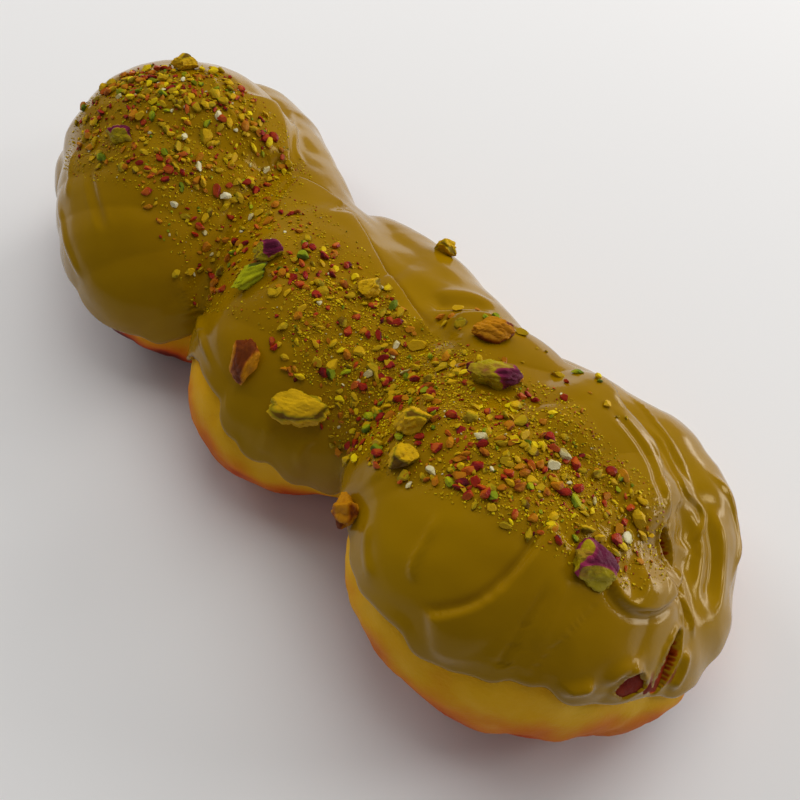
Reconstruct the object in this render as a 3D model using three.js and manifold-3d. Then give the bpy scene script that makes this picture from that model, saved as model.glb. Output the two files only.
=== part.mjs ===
// A twisted doughnut: two strands of fried dough laid over each other, coated on top
// with pistachio cream and scattered with chopped pistachios.
// Millimetres, +Z up. X runs along the twist towards its near end, Y across it, and the
// origin is on the resting plane under the middle of the twist.

import * as THREE from 'three';
import { mergeVertices } from 'three/addons/utils/BufferGeometryUtils.js';
import Module from 'manifold-3d';

const wasm = await Module();
wasm.setup();

// ---------------------------------------------------------------- driving dimensions

const PIECE_GAP = 0.35;            // clearance between one piece and the next
const GLAZE_THICKNESS = 2.0;       // cream on the open top of a strand
const STRAND_FLATNESS = 0.9;       // height of a strand's section for each unit of width
const DOUGH_BLEND = 4;             // radius over which the strands have baked together
const GLAZE_BLEND = 7;             // radius over which the cream fills the valleys
const PATH_STEPS = 24;             // round sections taken along each strand

// Valleys that are filled up to a level top. Along the twist each starts and ends between
// these, and the radius is what the blend gains there.
const FILLED_VALLEYS = [
  { from: [-36, -22], to: [4, 14], radius: 12 },
  { from: [38, 52], to: [68, 80], radius: 28 },
];
const FILLED_SIDE = [-12, 0];      // across the twist, the filling starts between these
const FILLED_END = [10, 28];       // and ends between these
const FILLED_HEIGHT = [14, 26];    // and above the plate it starts between these

// Where each strand passes: along the twist, across it, centre height and radius.
// The strands swap sides twice, and each lies over the other once.
const STRAND_A = [
  { place: 'far end', x: -75.5, y: -13, z: 16.5, r: 13 },
  { place: 'far right lobe', x: -76.5, y: 28, z: 10.5, r: 14 },
  { place: 'first crossing, on top', x: -7.5, y: -9, z: 24, r: 17 },
  { place: 'middle left lobe', x: 0.5, y: -18, z: 16.5, r: 21 },
  { place: 'second crossing, below', x: 11, y: -9.5, z: 17.5, r: 21.5 },
  { place: 'near right lobe', x: 60, y: 18, z: 14.5, r: 16 },
  { place: 'near end', x: 78, y: 2.5, z: 13, r: 13.8 },
];
const STRAND_B = [
  { place: 'far end', x: -60.5, y: -2, z: 23, r: 26.5 },
  { place: 'far left lobe', x: -43.5, y: -19.5, z: 18, r: 19 },
  { place: 'first crossing, below', x: -24.5, y: -7, z: 9, r: 12.5 },
  { place: 'middle right lobe', x: -15.5, y: 18, z: 13.5, r: 12.5 },
  { place: 'second crossing, on top', x: 26.5, y: 5, z: 24.5, r: 14.5 },
  { place: 'near left lobe', x: 55.5, y: -18, z: 24, r: 24.7 },
  { place: 'near end', x: 75.5, y: -8.5, z: 14, r: 17 },
];

// How the pistachios were chopped. A large piece is given by its place seen from above,
// its length, width and height, its heading in degrees and the share of it sunk in.
const KNIFE_CUTS = 7;
const KNIFE_REACH = 0.55;          // nearest that a cut comes to the middle of a unit ball
const KNIFE_SPREAD = 0.25;         // how much farther out a cut may lie
const UNEVENNESS = 0.2;            // share of a ball's radius that a point may lack
const PIECE_SEED = 11;
const LARGE_PIECES = [
  { name: 'half_kernel', x: 15, y: -27, size: [11.5, 7, 5], heading: 40, sunk: 0.15, color: 0xb2a01c },
  { name: 'purple_skin', x: 37.5, y: -3, size: [9.5, 6.5, 5], heading: 52, sunk: 0.2, color: 0x7c2442 },
  { name: 'tan_chunk', x: 2, y: -29.5, size: [8.5, 6.5, 4.5], heading: 128, sunk: 0.3, color: 0xb06a10 },
  { name: 'purple_flake', x: -13.5, y: -12, size: [7.5, 5, 4], heading: 52, sunk: 0.2, color: 0x701c34 },
  { name: 'green_sliver', x: -11, y: -18.5, size: [9, 4.5, 4], heading: 88, sunk: 0.2, color: 0x93961a },
  { name: 'brown_chunk', x: 29.5, y: 5.5, size: [8, 5, 4.5], heading: 44, sunk: 0.2, color: 0x6b4a14 },
  { name: 'green_chunk', x: 35.5, y: -19.5, size: [6.5, 6, 4.5], heading: 20, sunk: 0.2, color: 0x9b9c22 },
  { name: 'green_flake', x: 39, y: -25, size: [6.5, 4.5, 3.5], heading: 35, sunk: 0.2, color: 0xa79c1e },
  { name: 'near_chunk', x: 71, y: -16.5, size: [9, 7, 5], heading: 14, sunk: 0.3, color: 0x8a6a24 },
  { name: 'crease_chunk', x: 37, y: -33.5, size: [6.5, 5.5, 4.5], heading: 120, sunk: 0.15, color: 0x8f8a16 },
  { name: 'middle_chunk', x: 5, y: -2.5, size: [5.5, 4.5, 4], heading: 80, sunk: 0.2, color: 0xa9a34a },
  { name: 'far_pale', x: -65, y: 4, size: [6, 5, 4], heading: 60, sunk: 0.2, color: 0xa59c2c },
  { name: 'far_dark', x: -58, y: -17.5, size: [6, 4.5, 4], heading: 25, sunk: 0.3, color: 0x6a2a14 },
  { name: 'right_chunk', x: 0, y: 24.5, size: [5.5, 4.5, 4], heading: 10, sunk: 0.2, color: 0xb8a030 },
];

// Small bits, fused to the glaze where they lie thickest: the middle of each patch seen from
// above, its length, width and heading, and how many bits are tried in it.
const BIT_SEED = 7;
const BIT_LENGTH = [2.4, 4.8];
const BIT_CLEARANCE = 0.6;
const BIT_SUNK = 0.35;
const BIT_PATCHES = [
  { x: -51, y: -7.5, length: 48, width: 24, heading: 40, count: 36 },
  { x: -23, y: -11.5, length: 44, width: 18, heading: 10, count: 22 },
  { x: 15, y: -11.5, length: 34, width: 20, heading: -20, count: 24 },
  { x: 39, y: -13.5, length: 34, width: 22, heading: 10, count: 26 },
  { x: 61, y: -12.5, length: 30, width: 16, heading: 30, count: 24 },
  { x: 37, y: 7.5, length: 34, width: 12, heading: 0, count: 12 },
];

// The spine that every surface is measured from, and how finely it is divided.
const SPINE = { from: -60.5, to: 60.5, height: 17 };
const STRAIGHT_STEPS = 29;         // columns along each side of the spine
const FAN_STEPS = 20;              // columns round each end
const TOP_ROWS = 12;               // rows from the crest down to the rim of the glaze
const SIDE_ROWS = 7;               // rows from the rim of the glaze to the underside
const SEARCH_RADIUS = 75;          // a ray starts this far out
const SEARCH_PACE = 0.6;           // share of the clear distance that it then moves in
const SEARCH_STEP = 0.3;           // and its shortest move
const SEARCH_FINENESS = 0.001;     // how closely the surface is then found

// Height of the glaze's lower rim above the plate, along each side of the twist.
const RIM_LEFT = [
  [-96, 15], [-60, 20], [-53, 21], [-40, 18.5], [-28, 17], [-20, 20], [-8, 29], [0, 28.5],
  [8, 25], [14, 22.5], [20, 18], [24, 17], [31, 24], [38, 32], [46, 32], [60, 34], [96, 34],
];
const RIM_RIGHT = [[-96, 15], [-70, 14], [-42, 20], [-18, 15], [22, 19], [60, 14], [80, 18], [96, 18]];
const RIM_NEAR_END = [60, 82];     // the near end's part of the rim starts between these
const RIM_MIDDLE = [-8, 8];        // across the twist, left gives way to right between these
const RIM_NEAR_MIDDLE = [-34, 1];  // and between these at the near end
const RIM_WAVE = 0.6;              // depth of the drips along the rim
const RIM_OVERHANG = 2.5;          // degrees that the rounded rim reaches below its last row
const RIM_LIMIT = 1.2;             // the rim's elevation, in radians, is looked for up to this
const RIM_HALVINGS = 22;           // and that range is halved this many times

// ---------------------------------------------------------------- the strands' form

/** Sections along one strand, as centre and radius, from a curve through its stations. */
function strandSections(stations) {
  const throughAll = (points) => new THREE.CatmullRomCurve3(points, false, 'catmullrom', 0.5);
  const path = throughAll(stations.map((s) => new THREE.Vector3(s.x, s.y, s.z)));
  const radii = throughAll(stations.map((s, i) => new THREE.Vector3(i, s.r, 0)));
  return Array.from({ length: PATH_STEPS + 1 }, (_, i) => {
    const t = i / PATH_STEPS;
    const centre = path.getPoint(t);
    return [centre.x, centre.y, centre.z / STRAND_FLATNESS, radii.getPoint(t).y];
  });
}

const SECTIONS = [strandSections(STRAND_A), strandSections(STRAND_B)];

/** Distance from a point to a strand, a chain of cones with round ends. */
function strandDistance(sections, x, y, z) {
  let nearest = Infinity;
  for (let i = 0; i + 1 < sections.length; i += 1) {
    const [ax, ay, az, ar] = sections[i];
    const [bx, by, bz, br] = sections[i + 1];
    const [dx, dy, dz] = [bx - ax, by - ay, bz - az];
    const [px, py, pz] = [x - ax, y - ay, z - az];
    const share = (px * dx + py * dy + pz * dz) / (dx * dx + dy * dy + dz * dz);
    const t = THREE.MathUtils.clamp(share, 0, 1);
    const reach = Math.hypot(px - t * dx, py - t * dy, pz - t * dz);
    nearest = Math.min(nearest, reach - ar - t * (br - ar));
  }
  return nearest;
}

/** What the blend's radius gains at a point over a filled valley. */
function valleyFilling(point) {
  const { smoothstep } = THREE.MathUtils;
  const across = smoothstep(point.y, ...FILLED_SIDE) * (1 - smoothstep(point.y, ...FILLED_END));
  const gain = (v) => v.radius * (smoothstep(point.x, ...v.from) - smoothstep(point.x, ...v.to));
  const along = FILLED_VALLEYS.reduce((sum, valley) => sum + gain(valley), 0);
  return across * along * smoothstep(point.z, ...FILLED_HEIGHT);
}

/** Distance to the twist, with the valley between the strands rounded to a radius. */
function twistDistance(point, openBlend) {
  const blend = openBlend + valleyFilling(point);
  const z = point.z / STRAND_FLATNESS;
  const a = strandDistance(SECTIONS[0], point.x, point.y, z);
  const b = strandDistance(SECTIONS[1], point.x, point.y, z);
  const h = THREE.MathUtils.clamp(0.5 + (b - a) / (2 * blend), 0, 1);
  return b + (a - b) * h - blend * h * (1 - h);
}

// ---------------------------------------------------------------- rays from the spine

/** The columns: where each starts on the spine and the way that it faces. */
function spineColumns() {
  const columns = [];
  const along = (i) => SPINE.from + ((SPINE.to - SPINE.from) * i) / STRAIGHT_STEPS;
  const fanTurn = (i) => Math.PI * (0.5 - i / FAN_STEPS);
  for (let i = 0; i <= STRAIGHT_STEPS; i += 1) columns.push({ x: along(i), turn: Math.PI / 2 });
  for (let i = 1; i < FAN_STEPS; i += 1) columns.push({ x: SPINE.to, turn: fanTurn(i) });
  for (let i = STRAIGHT_STEPS; i >= 0; i -= 1) columns.push({ x: along(i), turn: -Math.PI / 2 });
  for (let i = 1; i < FAN_STEPS; i += 1) columns.push({ x: SPINE.from, turn: fanTurn(i) - Math.PI });
  return columns;
}

/** The point where a ray from the spine meets a surface, walking in from outside. */
function surfacePoint(column, elevation, offset, blend) {
  const way = new THREE.Vector3(
    Math.cos(elevation) * Math.cos(column.turn),
    Math.cos(elevation) * Math.sin(column.turn),
    Math.sin(elevation),
  );
  const start = new THREE.Vector3(column.x, 0, SPINE.height);
  const at = (reach) => start.clone().addScaledVector(way, reach);
  const gapAt = (reach) => twistDistance(at(reach), blend) - offset;
  let outside = SEARCH_RADIUS;
  let inside = outside;
  let gap = gapAt(inside);
  while (gap > 0 && inside > 0) {
    outside = inside;
    inside -= Math.max(SEARCH_PACE * gap, SEARCH_STEP);
    gap = gapAt(inside);
  }
  while (outside - inside > SEARCH_FINENESS) {
    const middle = (outside + inside) / 2;
    if (gapAt(middle) > 0) outside = middle;
    else inside = middle;
  }
  return at(outside);
}

/** A value read off a list of [x, value] pairs, eased from each to the next. */
function eased(pairs, x) {
  const next = Math.max(1, pairs.findIndex(([at]) => at >= x));
  const [x0, v0] = pairs[next - 1];
  const [x1, v1] = pairs[next];
  return v0 + (v1 - v0) * THREE.MathUtils.smoothstep(x, x0, x1);
}

/** Height of the glaze's rim at a place on the side of the twist. */
function rimHeight(point) {
  const nearEnd = THREE.MathUtils.smoothstep(point.x, ...RIM_NEAR_END);
  const bound = (i) => THREE.MathUtils.lerp(RIM_MIDDLE[i], RIM_NEAR_MIDDLE[i], nearEnd);
  const right = THREE.MathUtils.smoothstep(point.y, bound(0), bound(1));
  const base = eased(RIM_LEFT, point.x) * (1 - right) + eased(RIM_RIGHT, point.x) * right;
  const long = Math.sin(point.x / 4.1 + point.y / 9);
  const short = Math.sin(point.x / 2.3 - point.y / 5 + 1);
  return base + RIM_WAVE * (long + 0.6 * short);
}

/** Elevation at which a column's ray meets the rim of the glaze. */
function rimElevation(column) {
  let low = -RIM_LIMIT;
  let high = RIM_LIMIT;
  for (let step = 0; step < RIM_HALVINGS; step += 1) {
    const middle = (low + high) / 2;
    const point = surfacePoint(column, middle, 0, DOUGH_BLEND);
    if (point.z > rimHeight(point)) high = middle;
    else low = middle;
  }
  return (low + high) / 2;
}

const COLUMNS = spineColumns().map((column) => ({ ...column, rim: rimElevation(column) }));

/** Elevation of a row between the crest and the rim, as the dough and the glaze share it. */
const topElevation = (column, row) => Math.PI / 2 + ((column.rim - Math.PI / 2) * row) / TOP_ROWS;

// ---------------------------------------------------------------- meshes from rows of points

/** A closed geometry over rows of points, each row one loop round the twist, from its crest. */
function loftGeometry(rows, outermostFirst) {
  const count = rows[0].length;
  const position = rows.flat().flatMap((p) => [p.x, p.y, p.z]);
  const index = [];
  for (let row = 0; row + 1 < rows.length; row += 1) {
    for (let i = 0; i < count; i += 1) {
      const j = (i + 1) % count;
      const a = row * count + i;
      const b = row * count + j;
      const c = a + count;
      const d = b + count;
      if (outermostFirst) index.push(a, b, d, a, d, c);
      else index.push(a, d, b, a, c, d);
    }
  }
  const geometry = new THREE.BufferGeometry();
  geometry.setAttribute('position', new THREE.Float32BufferAttribute(position, 3));
  geometry.setIndex(index);
  return withoutSlivers(mergeVertices(geometry, 1e-3));
}

/** The same geometry without triangles that lost a side when points were merged. */
function withoutSlivers(geometry) {
  const old = geometry.index.array;
  const kept = [];
  for (let i = 0; i < old.length; i += 3) {
    const [a, b, c] = [old[i], old[i + 1], old[i + 2]];
    if (a !== b && b !== c && c !== a) kept.push(a, b, c);
  }
  geometry.setIndex(kept);
  return geometry;
}

/** A solid for cutting and joining, from a closed geometry. */
function toSolid(geometry) {
  return new wasm.Manifold(new wasm.Mesh({
    numProp: 3,
    vertProperties: new Float32Array(geometry.attributes.position.array),
    triVerts: new Uint32Array(geometry.index.array),
  }));
}

/** A geometry from a solid. */
function toGeometry(solid) {
  const mesh = solid.getMesh();
  const geometry = new THREE.BufferGeometry();
  geometry.setAttribute('position', new THREE.Float32BufferAttribute(mesh.vertProperties, 3));
  geometry.setIndex(Array.from(mesh.triVerts));
  return geometry;
}

// ---------------------------------------------------------------- dough and glaze

/** The dough: one solid, flat where it rests. */
function doughGeometry() {
  const rows = [];
  for (let row = 0; row <= TOP_ROWS; row += 1) {
    rows.push(COLUMNS.map((c) => surfacePoint(c, topElevation(c, row), 0, DOUGH_BLEND)));
  }
  for (let row = 1; row <= SIDE_ROWS; row += 1) {
    const down = (c) => c.rim + ((-Math.PI / 2 - c.rim) * row) / SIDE_ROWS;
    rows.push(COLUMNS.map((c) => surfacePoint(c, down(c), 0, DOUGH_BLEND)));
  }
  for (const point of rows.flat()) point.z = Math.max(point.z, 0);
  return loftGeometry(rows, true);
}

/** The glaze: a skin from the crest to a rounded rim, clear of the dough under it. */
function glazeGeometry() {
  const rows = [];
  for (let row = 0; row <= TOP_ROWS; row += 1) {
    rows.push(COLUMNS.map((c) => surfacePoint(c, topElevation(c, row), PIECE_GAP, DOUGH_BLEND)));
  }
  const overhang = THREE.MathUtils.degToRad(RIM_OVERHANG);
  const lip = PIECE_GAP + GLAZE_THICKNESS / 2;
  rows.push(COLUMNS.map((c) => surfacePoint(c, c.rim - overhang, lip, DOUGH_BLEND)));
  for (let row = TOP_ROWS; row >= 0; row -= 1) {
    const offset = PIECE_GAP + GLAZE_THICKNESS;
    rows.push(COLUMNS.map((c) => surfacePoint(c, topElevation(c, row), offset, GLAZE_BLEND)));
  }
  return loftGeometry(rows, false);
}

// ---------------------------------------------------------------- chopped pistachios

/** A random number generator that gives the same draws for the same seed. */
function seededRandom(seed) {
  let state = seed;
  return () => {
    state = (state + 0x6d2b79f5) | 0;
    let t = Math.imul(state ^ (state >>> 15), 1 | state);
    t = (t + Math.imul(t ^ (t >>> 7), 61 | t)) ^ t;
    return ((t ^ (t >>> 14)) >>> 0) / 4294967296;
  };
}

/** An uneven ball of unit radius, flattened where a knife went through. */
function choppedGeometry(detail, random) {
  const ball = new THREE.IcosahedronGeometry(1, detail);
  ball.deleteAttribute('normal');
  ball.deleteAttribute('uv');
  const geometry = mergeVertices(ball);
  const cuts = Array.from({ length: KNIFE_CUTS }, () => ({
    normal: new THREE.Vector3(random() - 0.5, random() - 0.5, random() - 0.5).normalize(),
    reach: KNIFE_REACH + KNIFE_SPREAD * random(),
  }));
  const position = geometry.attributes.position;
  const point = new THREE.Vector3();
  for (let i = 0; i < position.count; i += 1) {
    point.fromBufferAttribute(position, i).multiplyScalar(1 - UNEVENNESS * random());
    for (const cut of cuts) {
      point.addScaledVector(cut.normal, -Math.max(0, point.dot(cut.normal) - cut.reach));
    }
    position.setXYZ(i, point.x, point.y, point.z);
  }
  return geometry;
}

/** Where a spot seen from above lies on the glaze, and which way the glaze faces there. */
function glazeSpot(x, y) {
  const offset = PIECE_GAP + GLAZE_THICKNESS;
  const depthAt = (z) => twistDistance({ x, y, z }, GLAZE_BLEND) - offset;
  let above = SEARCH_RADIUS;
  while (above > 0 && depthAt(above - SEARCH_STEP) > 0) above -= SEARCH_STEP;
  const z = above - SEARCH_STEP / 2;
  const slope = (dx, dy, dz) => twistDistance({ x: x + dx, y: y + dy, z: z + dz }, GLAZE_BLEND);
  const normal = new THREE.Vector3(
    slope(1, 0, 0) - slope(-1, 0, 0),
    slope(0, 1, 0) - slope(0, -1, 0),
    slope(0, 0, 1) - slope(0, 0, -1),
  ).normalize();
  return { point: new THREE.Vector3(x, y, z), normal };
}

/** A chopped piece lying on the glaze: turned to its heading, tilted with the surface, sunk in. */
function layOnGlaze(geometry, { x, y, size, heading, sunk }) {
  const { point, normal } = glazeSpot(x, y);
  const up = new THREE.Vector3(0, 0, 1);
  const lie = new THREE.Quaternion().setFromUnitVectors(up, normal);
  const turn = new THREE.Quaternion().setFromAxisAngle(up, THREE.MathUtils.degToRad(heading));
  const centre = point.addScaledVector(normal, size[2] * (0.5 - sunk));
  const half = new THREE.Vector3(size[0] / 2, size[1] / 2, size[2] / 2);
  return geometry.applyMatrix4(new THREE.Matrix4().compose(centre, lie.multiply(turn), half));
}

/** The space that the glaze fills, grown by the gap that a large piece keeps from it. */
function glazeSpace() {
  const offset = GLAZE_THICKNESS + 2 * PIECE_GAP;
  const rows = [];
  for (let row = 0; row <= TOP_ROWS; row += 1) {
    rows.push(COLUMNS.map((c) => surfacePoint(c, topElevation(c, row), offset, GLAZE_BLEND)));
  }
  for (let row = 1; row <= SIDE_ROWS; row += 1) {
    const down = (c) => c.rim + ((-Math.PI / 2 - c.rim) * row) / SIDE_ROWS;
    rows.push(COLUMNS.map((c) => surfacePoint(c, down(c), offset, GLAZE_BLEND)));
  }
  return loftGeometry(rows, true);
}

/** Small bits scattered in a patch, skipping those that would touch a large piece. */
function scatteredBits() {
  const random = seededRandom(BIT_SEED);
  const bits = [];
  for (const patch of BIT_PATCHES) {
    for (let i = 0; i < patch.count; i += 1) {
      const turn = 2 * Math.PI * random();
      const reach = Math.sqrt(random());
      const along = patch.length * 0.5 * reach * Math.cos(turn);
      const across = patch.width * 0.5 * reach * Math.sin(turn);
      const heading = THREE.MathUtils.degToRad(patch.heading);
      const length = BIT_LENGTH[0] + (BIT_LENGTH[1] - BIT_LENGTH[0]) * random() ** 2;
      const bit = {
        x: patch.x + along * Math.cos(heading) - across * Math.sin(heading),
        y: patch.y + along * Math.sin(heading) + across * Math.cos(heading),
        size: [length, length * (0.5 + 0.3 * random()), length * (0.4 + 0.25 * random())],
        heading: 360 * random(),
        sunk: BIT_SUNK,
      };
      const clear = [...LARGE_PIECES, ...bits].every((other) => (
        Math.hypot(bit.x - other.x, bit.y - other.y) > (length + other.size[0]) / 2 + BIT_CLEARANCE));
      if (clear) bits.push(bit);
    }
  }
  return bits;
}

// ---------------------------------------------------------------- the model

const model = new THREE.Group();

/** Adds a named piece to the model. */
function addPiece(name, geometry, material) {
  const mesh = new THREE.Mesh(geometry, material);
  mesh.name = name;
  model.add(mesh);
}

const matte = (color, roughness) => new THREE.MeshStandardMaterial({ color, roughness, metalness: 0 });

addPiece('dough_twist', doughGeometry(), matte(0xb9771f, 0.75));

let coat = toSolid(glazeGeometry());
const bitRandom = seededRandom(BIT_SEED + 1);
for (const bit of scatteredBits()) {
  const joined = coat.add(toSolid(layOnGlaze(choppedGeometry(0, bitRandom), bit)));
  if (joined.decompose().length === 1) coat = joined;
}
addPiece('glaze_coat', toGeometry(coat), matte(0x8a7410, 0.3));

const glazed = toSolid(glazeSpace());
LARGE_PIECES.forEach((piece, i) => {
  const whole = toSolid(layOnGlaze(choppedGeometry(1, seededRandom(PIECE_SEED + i)), piece));
  addPiece(`pistachio_${piece.name}`, toGeometry(whole.subtract(glazed)), matte(piece.color, 0.8));
});

// The twist stands with the middle of its footprint over the origin.
const middle = new THREE.Box3().setFromObject(model).getCenter(new THREE.Vector3());
model.position.set(-middle.x, -middle.y, 0);

export default model;
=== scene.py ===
"""A pastry twist: fried dough under pistachio cream, scattered with chopped pistachios.

Lengths are in millimetres up to the moment that a mesh is laid out, and in metres in it.
X runs along the twist towards its torn end, Y across it, and Z up from the plate.
"""

from __future__ import annotations

import logging
import math
from dataclasses import dataclass, field
from enum import Enum

import bpy
import numpy as np
from mathutils import Matrix, Quaternion, Vector
from mathutils.bvhtree import BVHTree


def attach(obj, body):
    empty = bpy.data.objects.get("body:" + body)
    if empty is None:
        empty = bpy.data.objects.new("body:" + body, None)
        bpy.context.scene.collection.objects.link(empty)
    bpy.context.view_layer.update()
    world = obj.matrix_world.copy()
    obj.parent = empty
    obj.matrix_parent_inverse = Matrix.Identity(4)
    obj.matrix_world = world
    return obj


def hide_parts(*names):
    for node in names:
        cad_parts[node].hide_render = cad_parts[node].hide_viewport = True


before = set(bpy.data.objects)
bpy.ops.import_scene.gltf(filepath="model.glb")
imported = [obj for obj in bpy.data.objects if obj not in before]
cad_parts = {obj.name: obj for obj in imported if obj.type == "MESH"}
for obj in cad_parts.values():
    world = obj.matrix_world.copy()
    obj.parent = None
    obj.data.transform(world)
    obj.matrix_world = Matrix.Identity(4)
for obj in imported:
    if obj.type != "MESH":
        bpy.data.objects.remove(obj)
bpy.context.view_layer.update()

log = logging.getLogger("pastry_twist")

MM = 0.001
WORD = 0xFFFFFFFF         # the largest number that a draw's state holds
DRAW_STEP = 0x6D2B79F5    # what each draw adds to it

# ------------------------------------------------------------------ the form of the twist

PIECE_GAP = 0.35        # clearance that the solids keep between dough and cream
CREAM_THICKNESS = 2.0   # cream on the open top of a strand
STRAND_FLATNESS = 0.9   # height of a strand's section for each unit of width
PATH_STEPS = 24         # round sections taken along each strand

# Stations of the two strands: along the twist, across it, centre height, radius.
STRAND_A = (
    (-75.5, -13.0, 16.5, 13.0),    # far end
    (-76.5, 28.0, 10.5, 14.0),     # far right lobe
    (-7.5, -9.0, 24.0, 17.0),      # first crossing, on top
    (0.5, -18.0, 16.5, 21.0),      # middle left lobe
    (11.0, -9.5, 17.5, 21.5),      # second crossing, below
    (60.0, 18.0, 14.5, 16.0),      # near right lobe
    (78.0, 2.5, 13.0, 13.8),       # near end
)
STRAND_B = (
    (-60.5, -2.0, 23.0, 26.5),     # far end
    (-43.5, -19.5, 18.0, 19.0),    # far left lobe
    (-24.5, -7.0, 9.0, 12.5),      # first crossing, below
    (-15.5, 18.0, 13.5, 12.5),     # middle right lobe
    (26.5, 5.0, 24.5, 14.5),       # second crossing, on top
    (55.5, -18.0, 24.0, 24.7),     # near left lobe
    (75.5, -8.5, 14.0, 17.0),      # near end
)

# Valleys that are filled up to a level top: where each starts and ends along the twist, and
# what the radius of the blend gains there.
FILLED_VALLEYS = (((-36, -22), (4, 14), 12.0), ((38, 52), (68, 80), 28.0))
FILLED_SIDE = (-12, 0)      # across the twist, the filling starts between these
FILLED_END = (10, 28)       # and ends between these
FILLED_HEIGHT = (14, 26)    # and above the plate it starts between these

FOOTPRINT_MIDDLE = (-0.94, 0.709)  # what ends up over the origin, along the twist and across it

# Height of the cream's lower rim, along each side of the twist.
RIM_LEFT = (
    (-96, 15), (-60, 20), (-53, 21), (-40, 18.5), (-28, 17), (-20, 20), (-8, 29), (0, 28.5),
    (8, 25), (14, 22.5), (20, 18), (24, 17), (31, 24), (38, 32), (46, 32), (60, 34), (96, 34),
)
RIM_RIGHT = ((-96, 15), (-70, 14), (-42, 20), (-18, 15), (22, 19), (60, 14), (80, 18), (96, 18))
RIM_NEAR_END = (60, 82)       # the near end's part of the rim starts between these
RIM_MIDDLE = (-8, 8)          # across the twist, left gives way to right between these
RIM_NEAR_MIDDLE = (-34, 1)    # and between these at the near end
RIM_WAVE = 0.6                # depth of the waves along the rim
RIM_LONG_WAVE = (4.1, 9)      # how slowly they come, along the twist and across it
RIM_SHORT_WAVE = (2.3, 5)     # and the shorter ones between them
RIM_SHORT_SHARE = 0.6         # depth of these for each unit of the long ones

RAY_START = 62.0              # a ray starts this far out from the spine
RAY_PACE = 0.75               # share of the clear distance that it then moves in
RAY_STEP = 0.3                # and its shortest move
RAY_HALVINGS = 9              # how often the surface's place is then halved
RIM_LIMIT = 1.2               # the rim's elevation, in radians, is looked for up to this
RIM_HALVINGS = 14             # and that range is halved this many times
FACING_STEP = 0.5             # how far apart the distances are that a normal is found from

RIPPLE_WAVES = 7              # crossing waves that make up a gentle unevenness
RIPPLE_RATES = (0.7, 1.5)     # how much oftener than once in its spacing each may come
RIPPLE_SUM = 3.2              # their sum divided by this lies between -1 and 1 or so
CRAG_SIZES = 4                # sizes of lumps in a crumbly face, each half the last
CRAG_SUM = 1.2                # their sum divided by this goes up to 1 or so


def smooth_through(values: np.ndarray, count: int) -> np.ndarray:
    """Points on a smooth curve through a list of values.

    Args:
        values: The values that the curve passes through, one in each row.
        count: How many equal steps the curve is taken in.

    Returns:
        The points, count + 1 rows.
    """
    around = np.vstack([2 * values[0] - values[1], values, 2 * values[-1] - values[-2]])
    place = np.linspace(0, len(values) - 1, count + 1)
    first = np.minimum(place.astype(int), len(values) - 2)
    w = (place - first)[:, None]
    p0, p1, p2, p3 = (around[first + k] for k in range(4))
    leave = 0.5 * (p2 - p0)
    arrive = 0.5 * (p3 - p1)
    square = 3 * (p2 - p1) - 2 * leave - arrive
    cube = 2 * (p1 - p2) + leave + arrive
    return p1 + leave * w + square * w**2 + cube * w**3


def eased(x: np.ndarray, low: np.ndarray | float, high: np.ndarray | float) -> np.ndarray:
    """0 up to low, 1 from high on, and an even ease between them."""
    t = np.clip((x - low) / (high - low), 0, 1)
    return t * t * (3 - 2 * t)


def bell(x: np.ndarray, width: np.ndarray | float) -> np.ndarray:
    """1 at 0, falling off evenly on both sides over a width."""
    return np.exp(-((x / width) ** 2))


def eased_through(pairs: tuple[tuple[float, float], ...], x: np.ndarray) -> np.ndarray:
    """Values read off a list of (x, value) pairs, eased from each to the next.

    Args:
        pairs: The pairs, in order of x.
        x: Where the values are wanted.

    Returns:
        One value for each x.
    """
    value = np.full_like(x, pairs[0][1], dtype=float)
    for (x0, v0), (x1, v1) in zip(pairs[:-1], pairs[1:]):
        value += (v1 - v0) * eased(x, x0, x1)
    return value


def ripples(points: np.ndarray, length: float, seed: int) -> np.ndarray:
    """A gentle unevenness, from -1 to 1 or so, made of a few crossing waves.

    Args:
        points: Where it is wanted, in millimetres.
        length: Distance from one wave to the next.
        seed: The choice of directions and phases.

    Returns:
        One number for each point.
    """
    draws = np.random.default_rng(seed)
    ways = draws.normal(size=(RIPPLE_WAVES, 3))
    rates = draws.uniform(*RIPPLE_RATES, (RIPPLE_WAVES, 1))
    ways *= (2 * math.pi / length) * rates / np.linalg.norm(ways, axis=1)[:, None]
    phases = draws.uniform(0, 2 * math.pi, RIPPLE_WAVES)
    return np.sin(points @ ways.T + phases).sum(axis=1) / RIPPLE_SUM


@dataclass(frozen=True)
class Ripple:
    """One size of gentle unevenness.

    Attributes:
        height: How far it lifts and lowers.
        spacing: Distance from one wave to the next.
        seed: The choice of its waves.
    """

    height: float
    spacing: float
    seed: int

    def lift(self, points: np.ndarray) -> np.ndarray:
        """How far it lifts each point."""
        return self.height * ripples(points, self.spacing, self.seed)


DOUGH_RIPPLES = (Ripple(0.3, 17, 5), Ripple(0.16, 6.5, 6), Ripple(0.06, 2.6, 7))
CREAM_RIPPLES = (Ripple(0.22, 19, 1), Ripple(0.07, 8, 2))
RIM_DRIPS = Ripple(0.5, 6, 40)         # smaller drips on top of the rim's waves
RAGGED_EDGE = Ripple(0.15, 2.0, 12)    # in an opening's half width, as a share of it
BLOTCHES = Ripple(0.1, 9, 8)           # in the browning


def crags(points: np.ndarray, length: float, seed: int) -> np.ndarray:
    """A crumbly unevenness, rounded lumps with sharp creases between them.

    Args:
        points: Where it is wanted.
        length: Size of the largest lumps.
        seed: The choice of lumps.

    Returns:
        One number for each point, 0 in the creases and 1 or so on the lumps.
    """
    total = np.zeros(len(points))
    for size in range(CRAG_SIZES):
        total += np.abs(ripples(points, length / 2**size, seed + size)) / 2**size
    return total / CRAG_SUM


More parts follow.
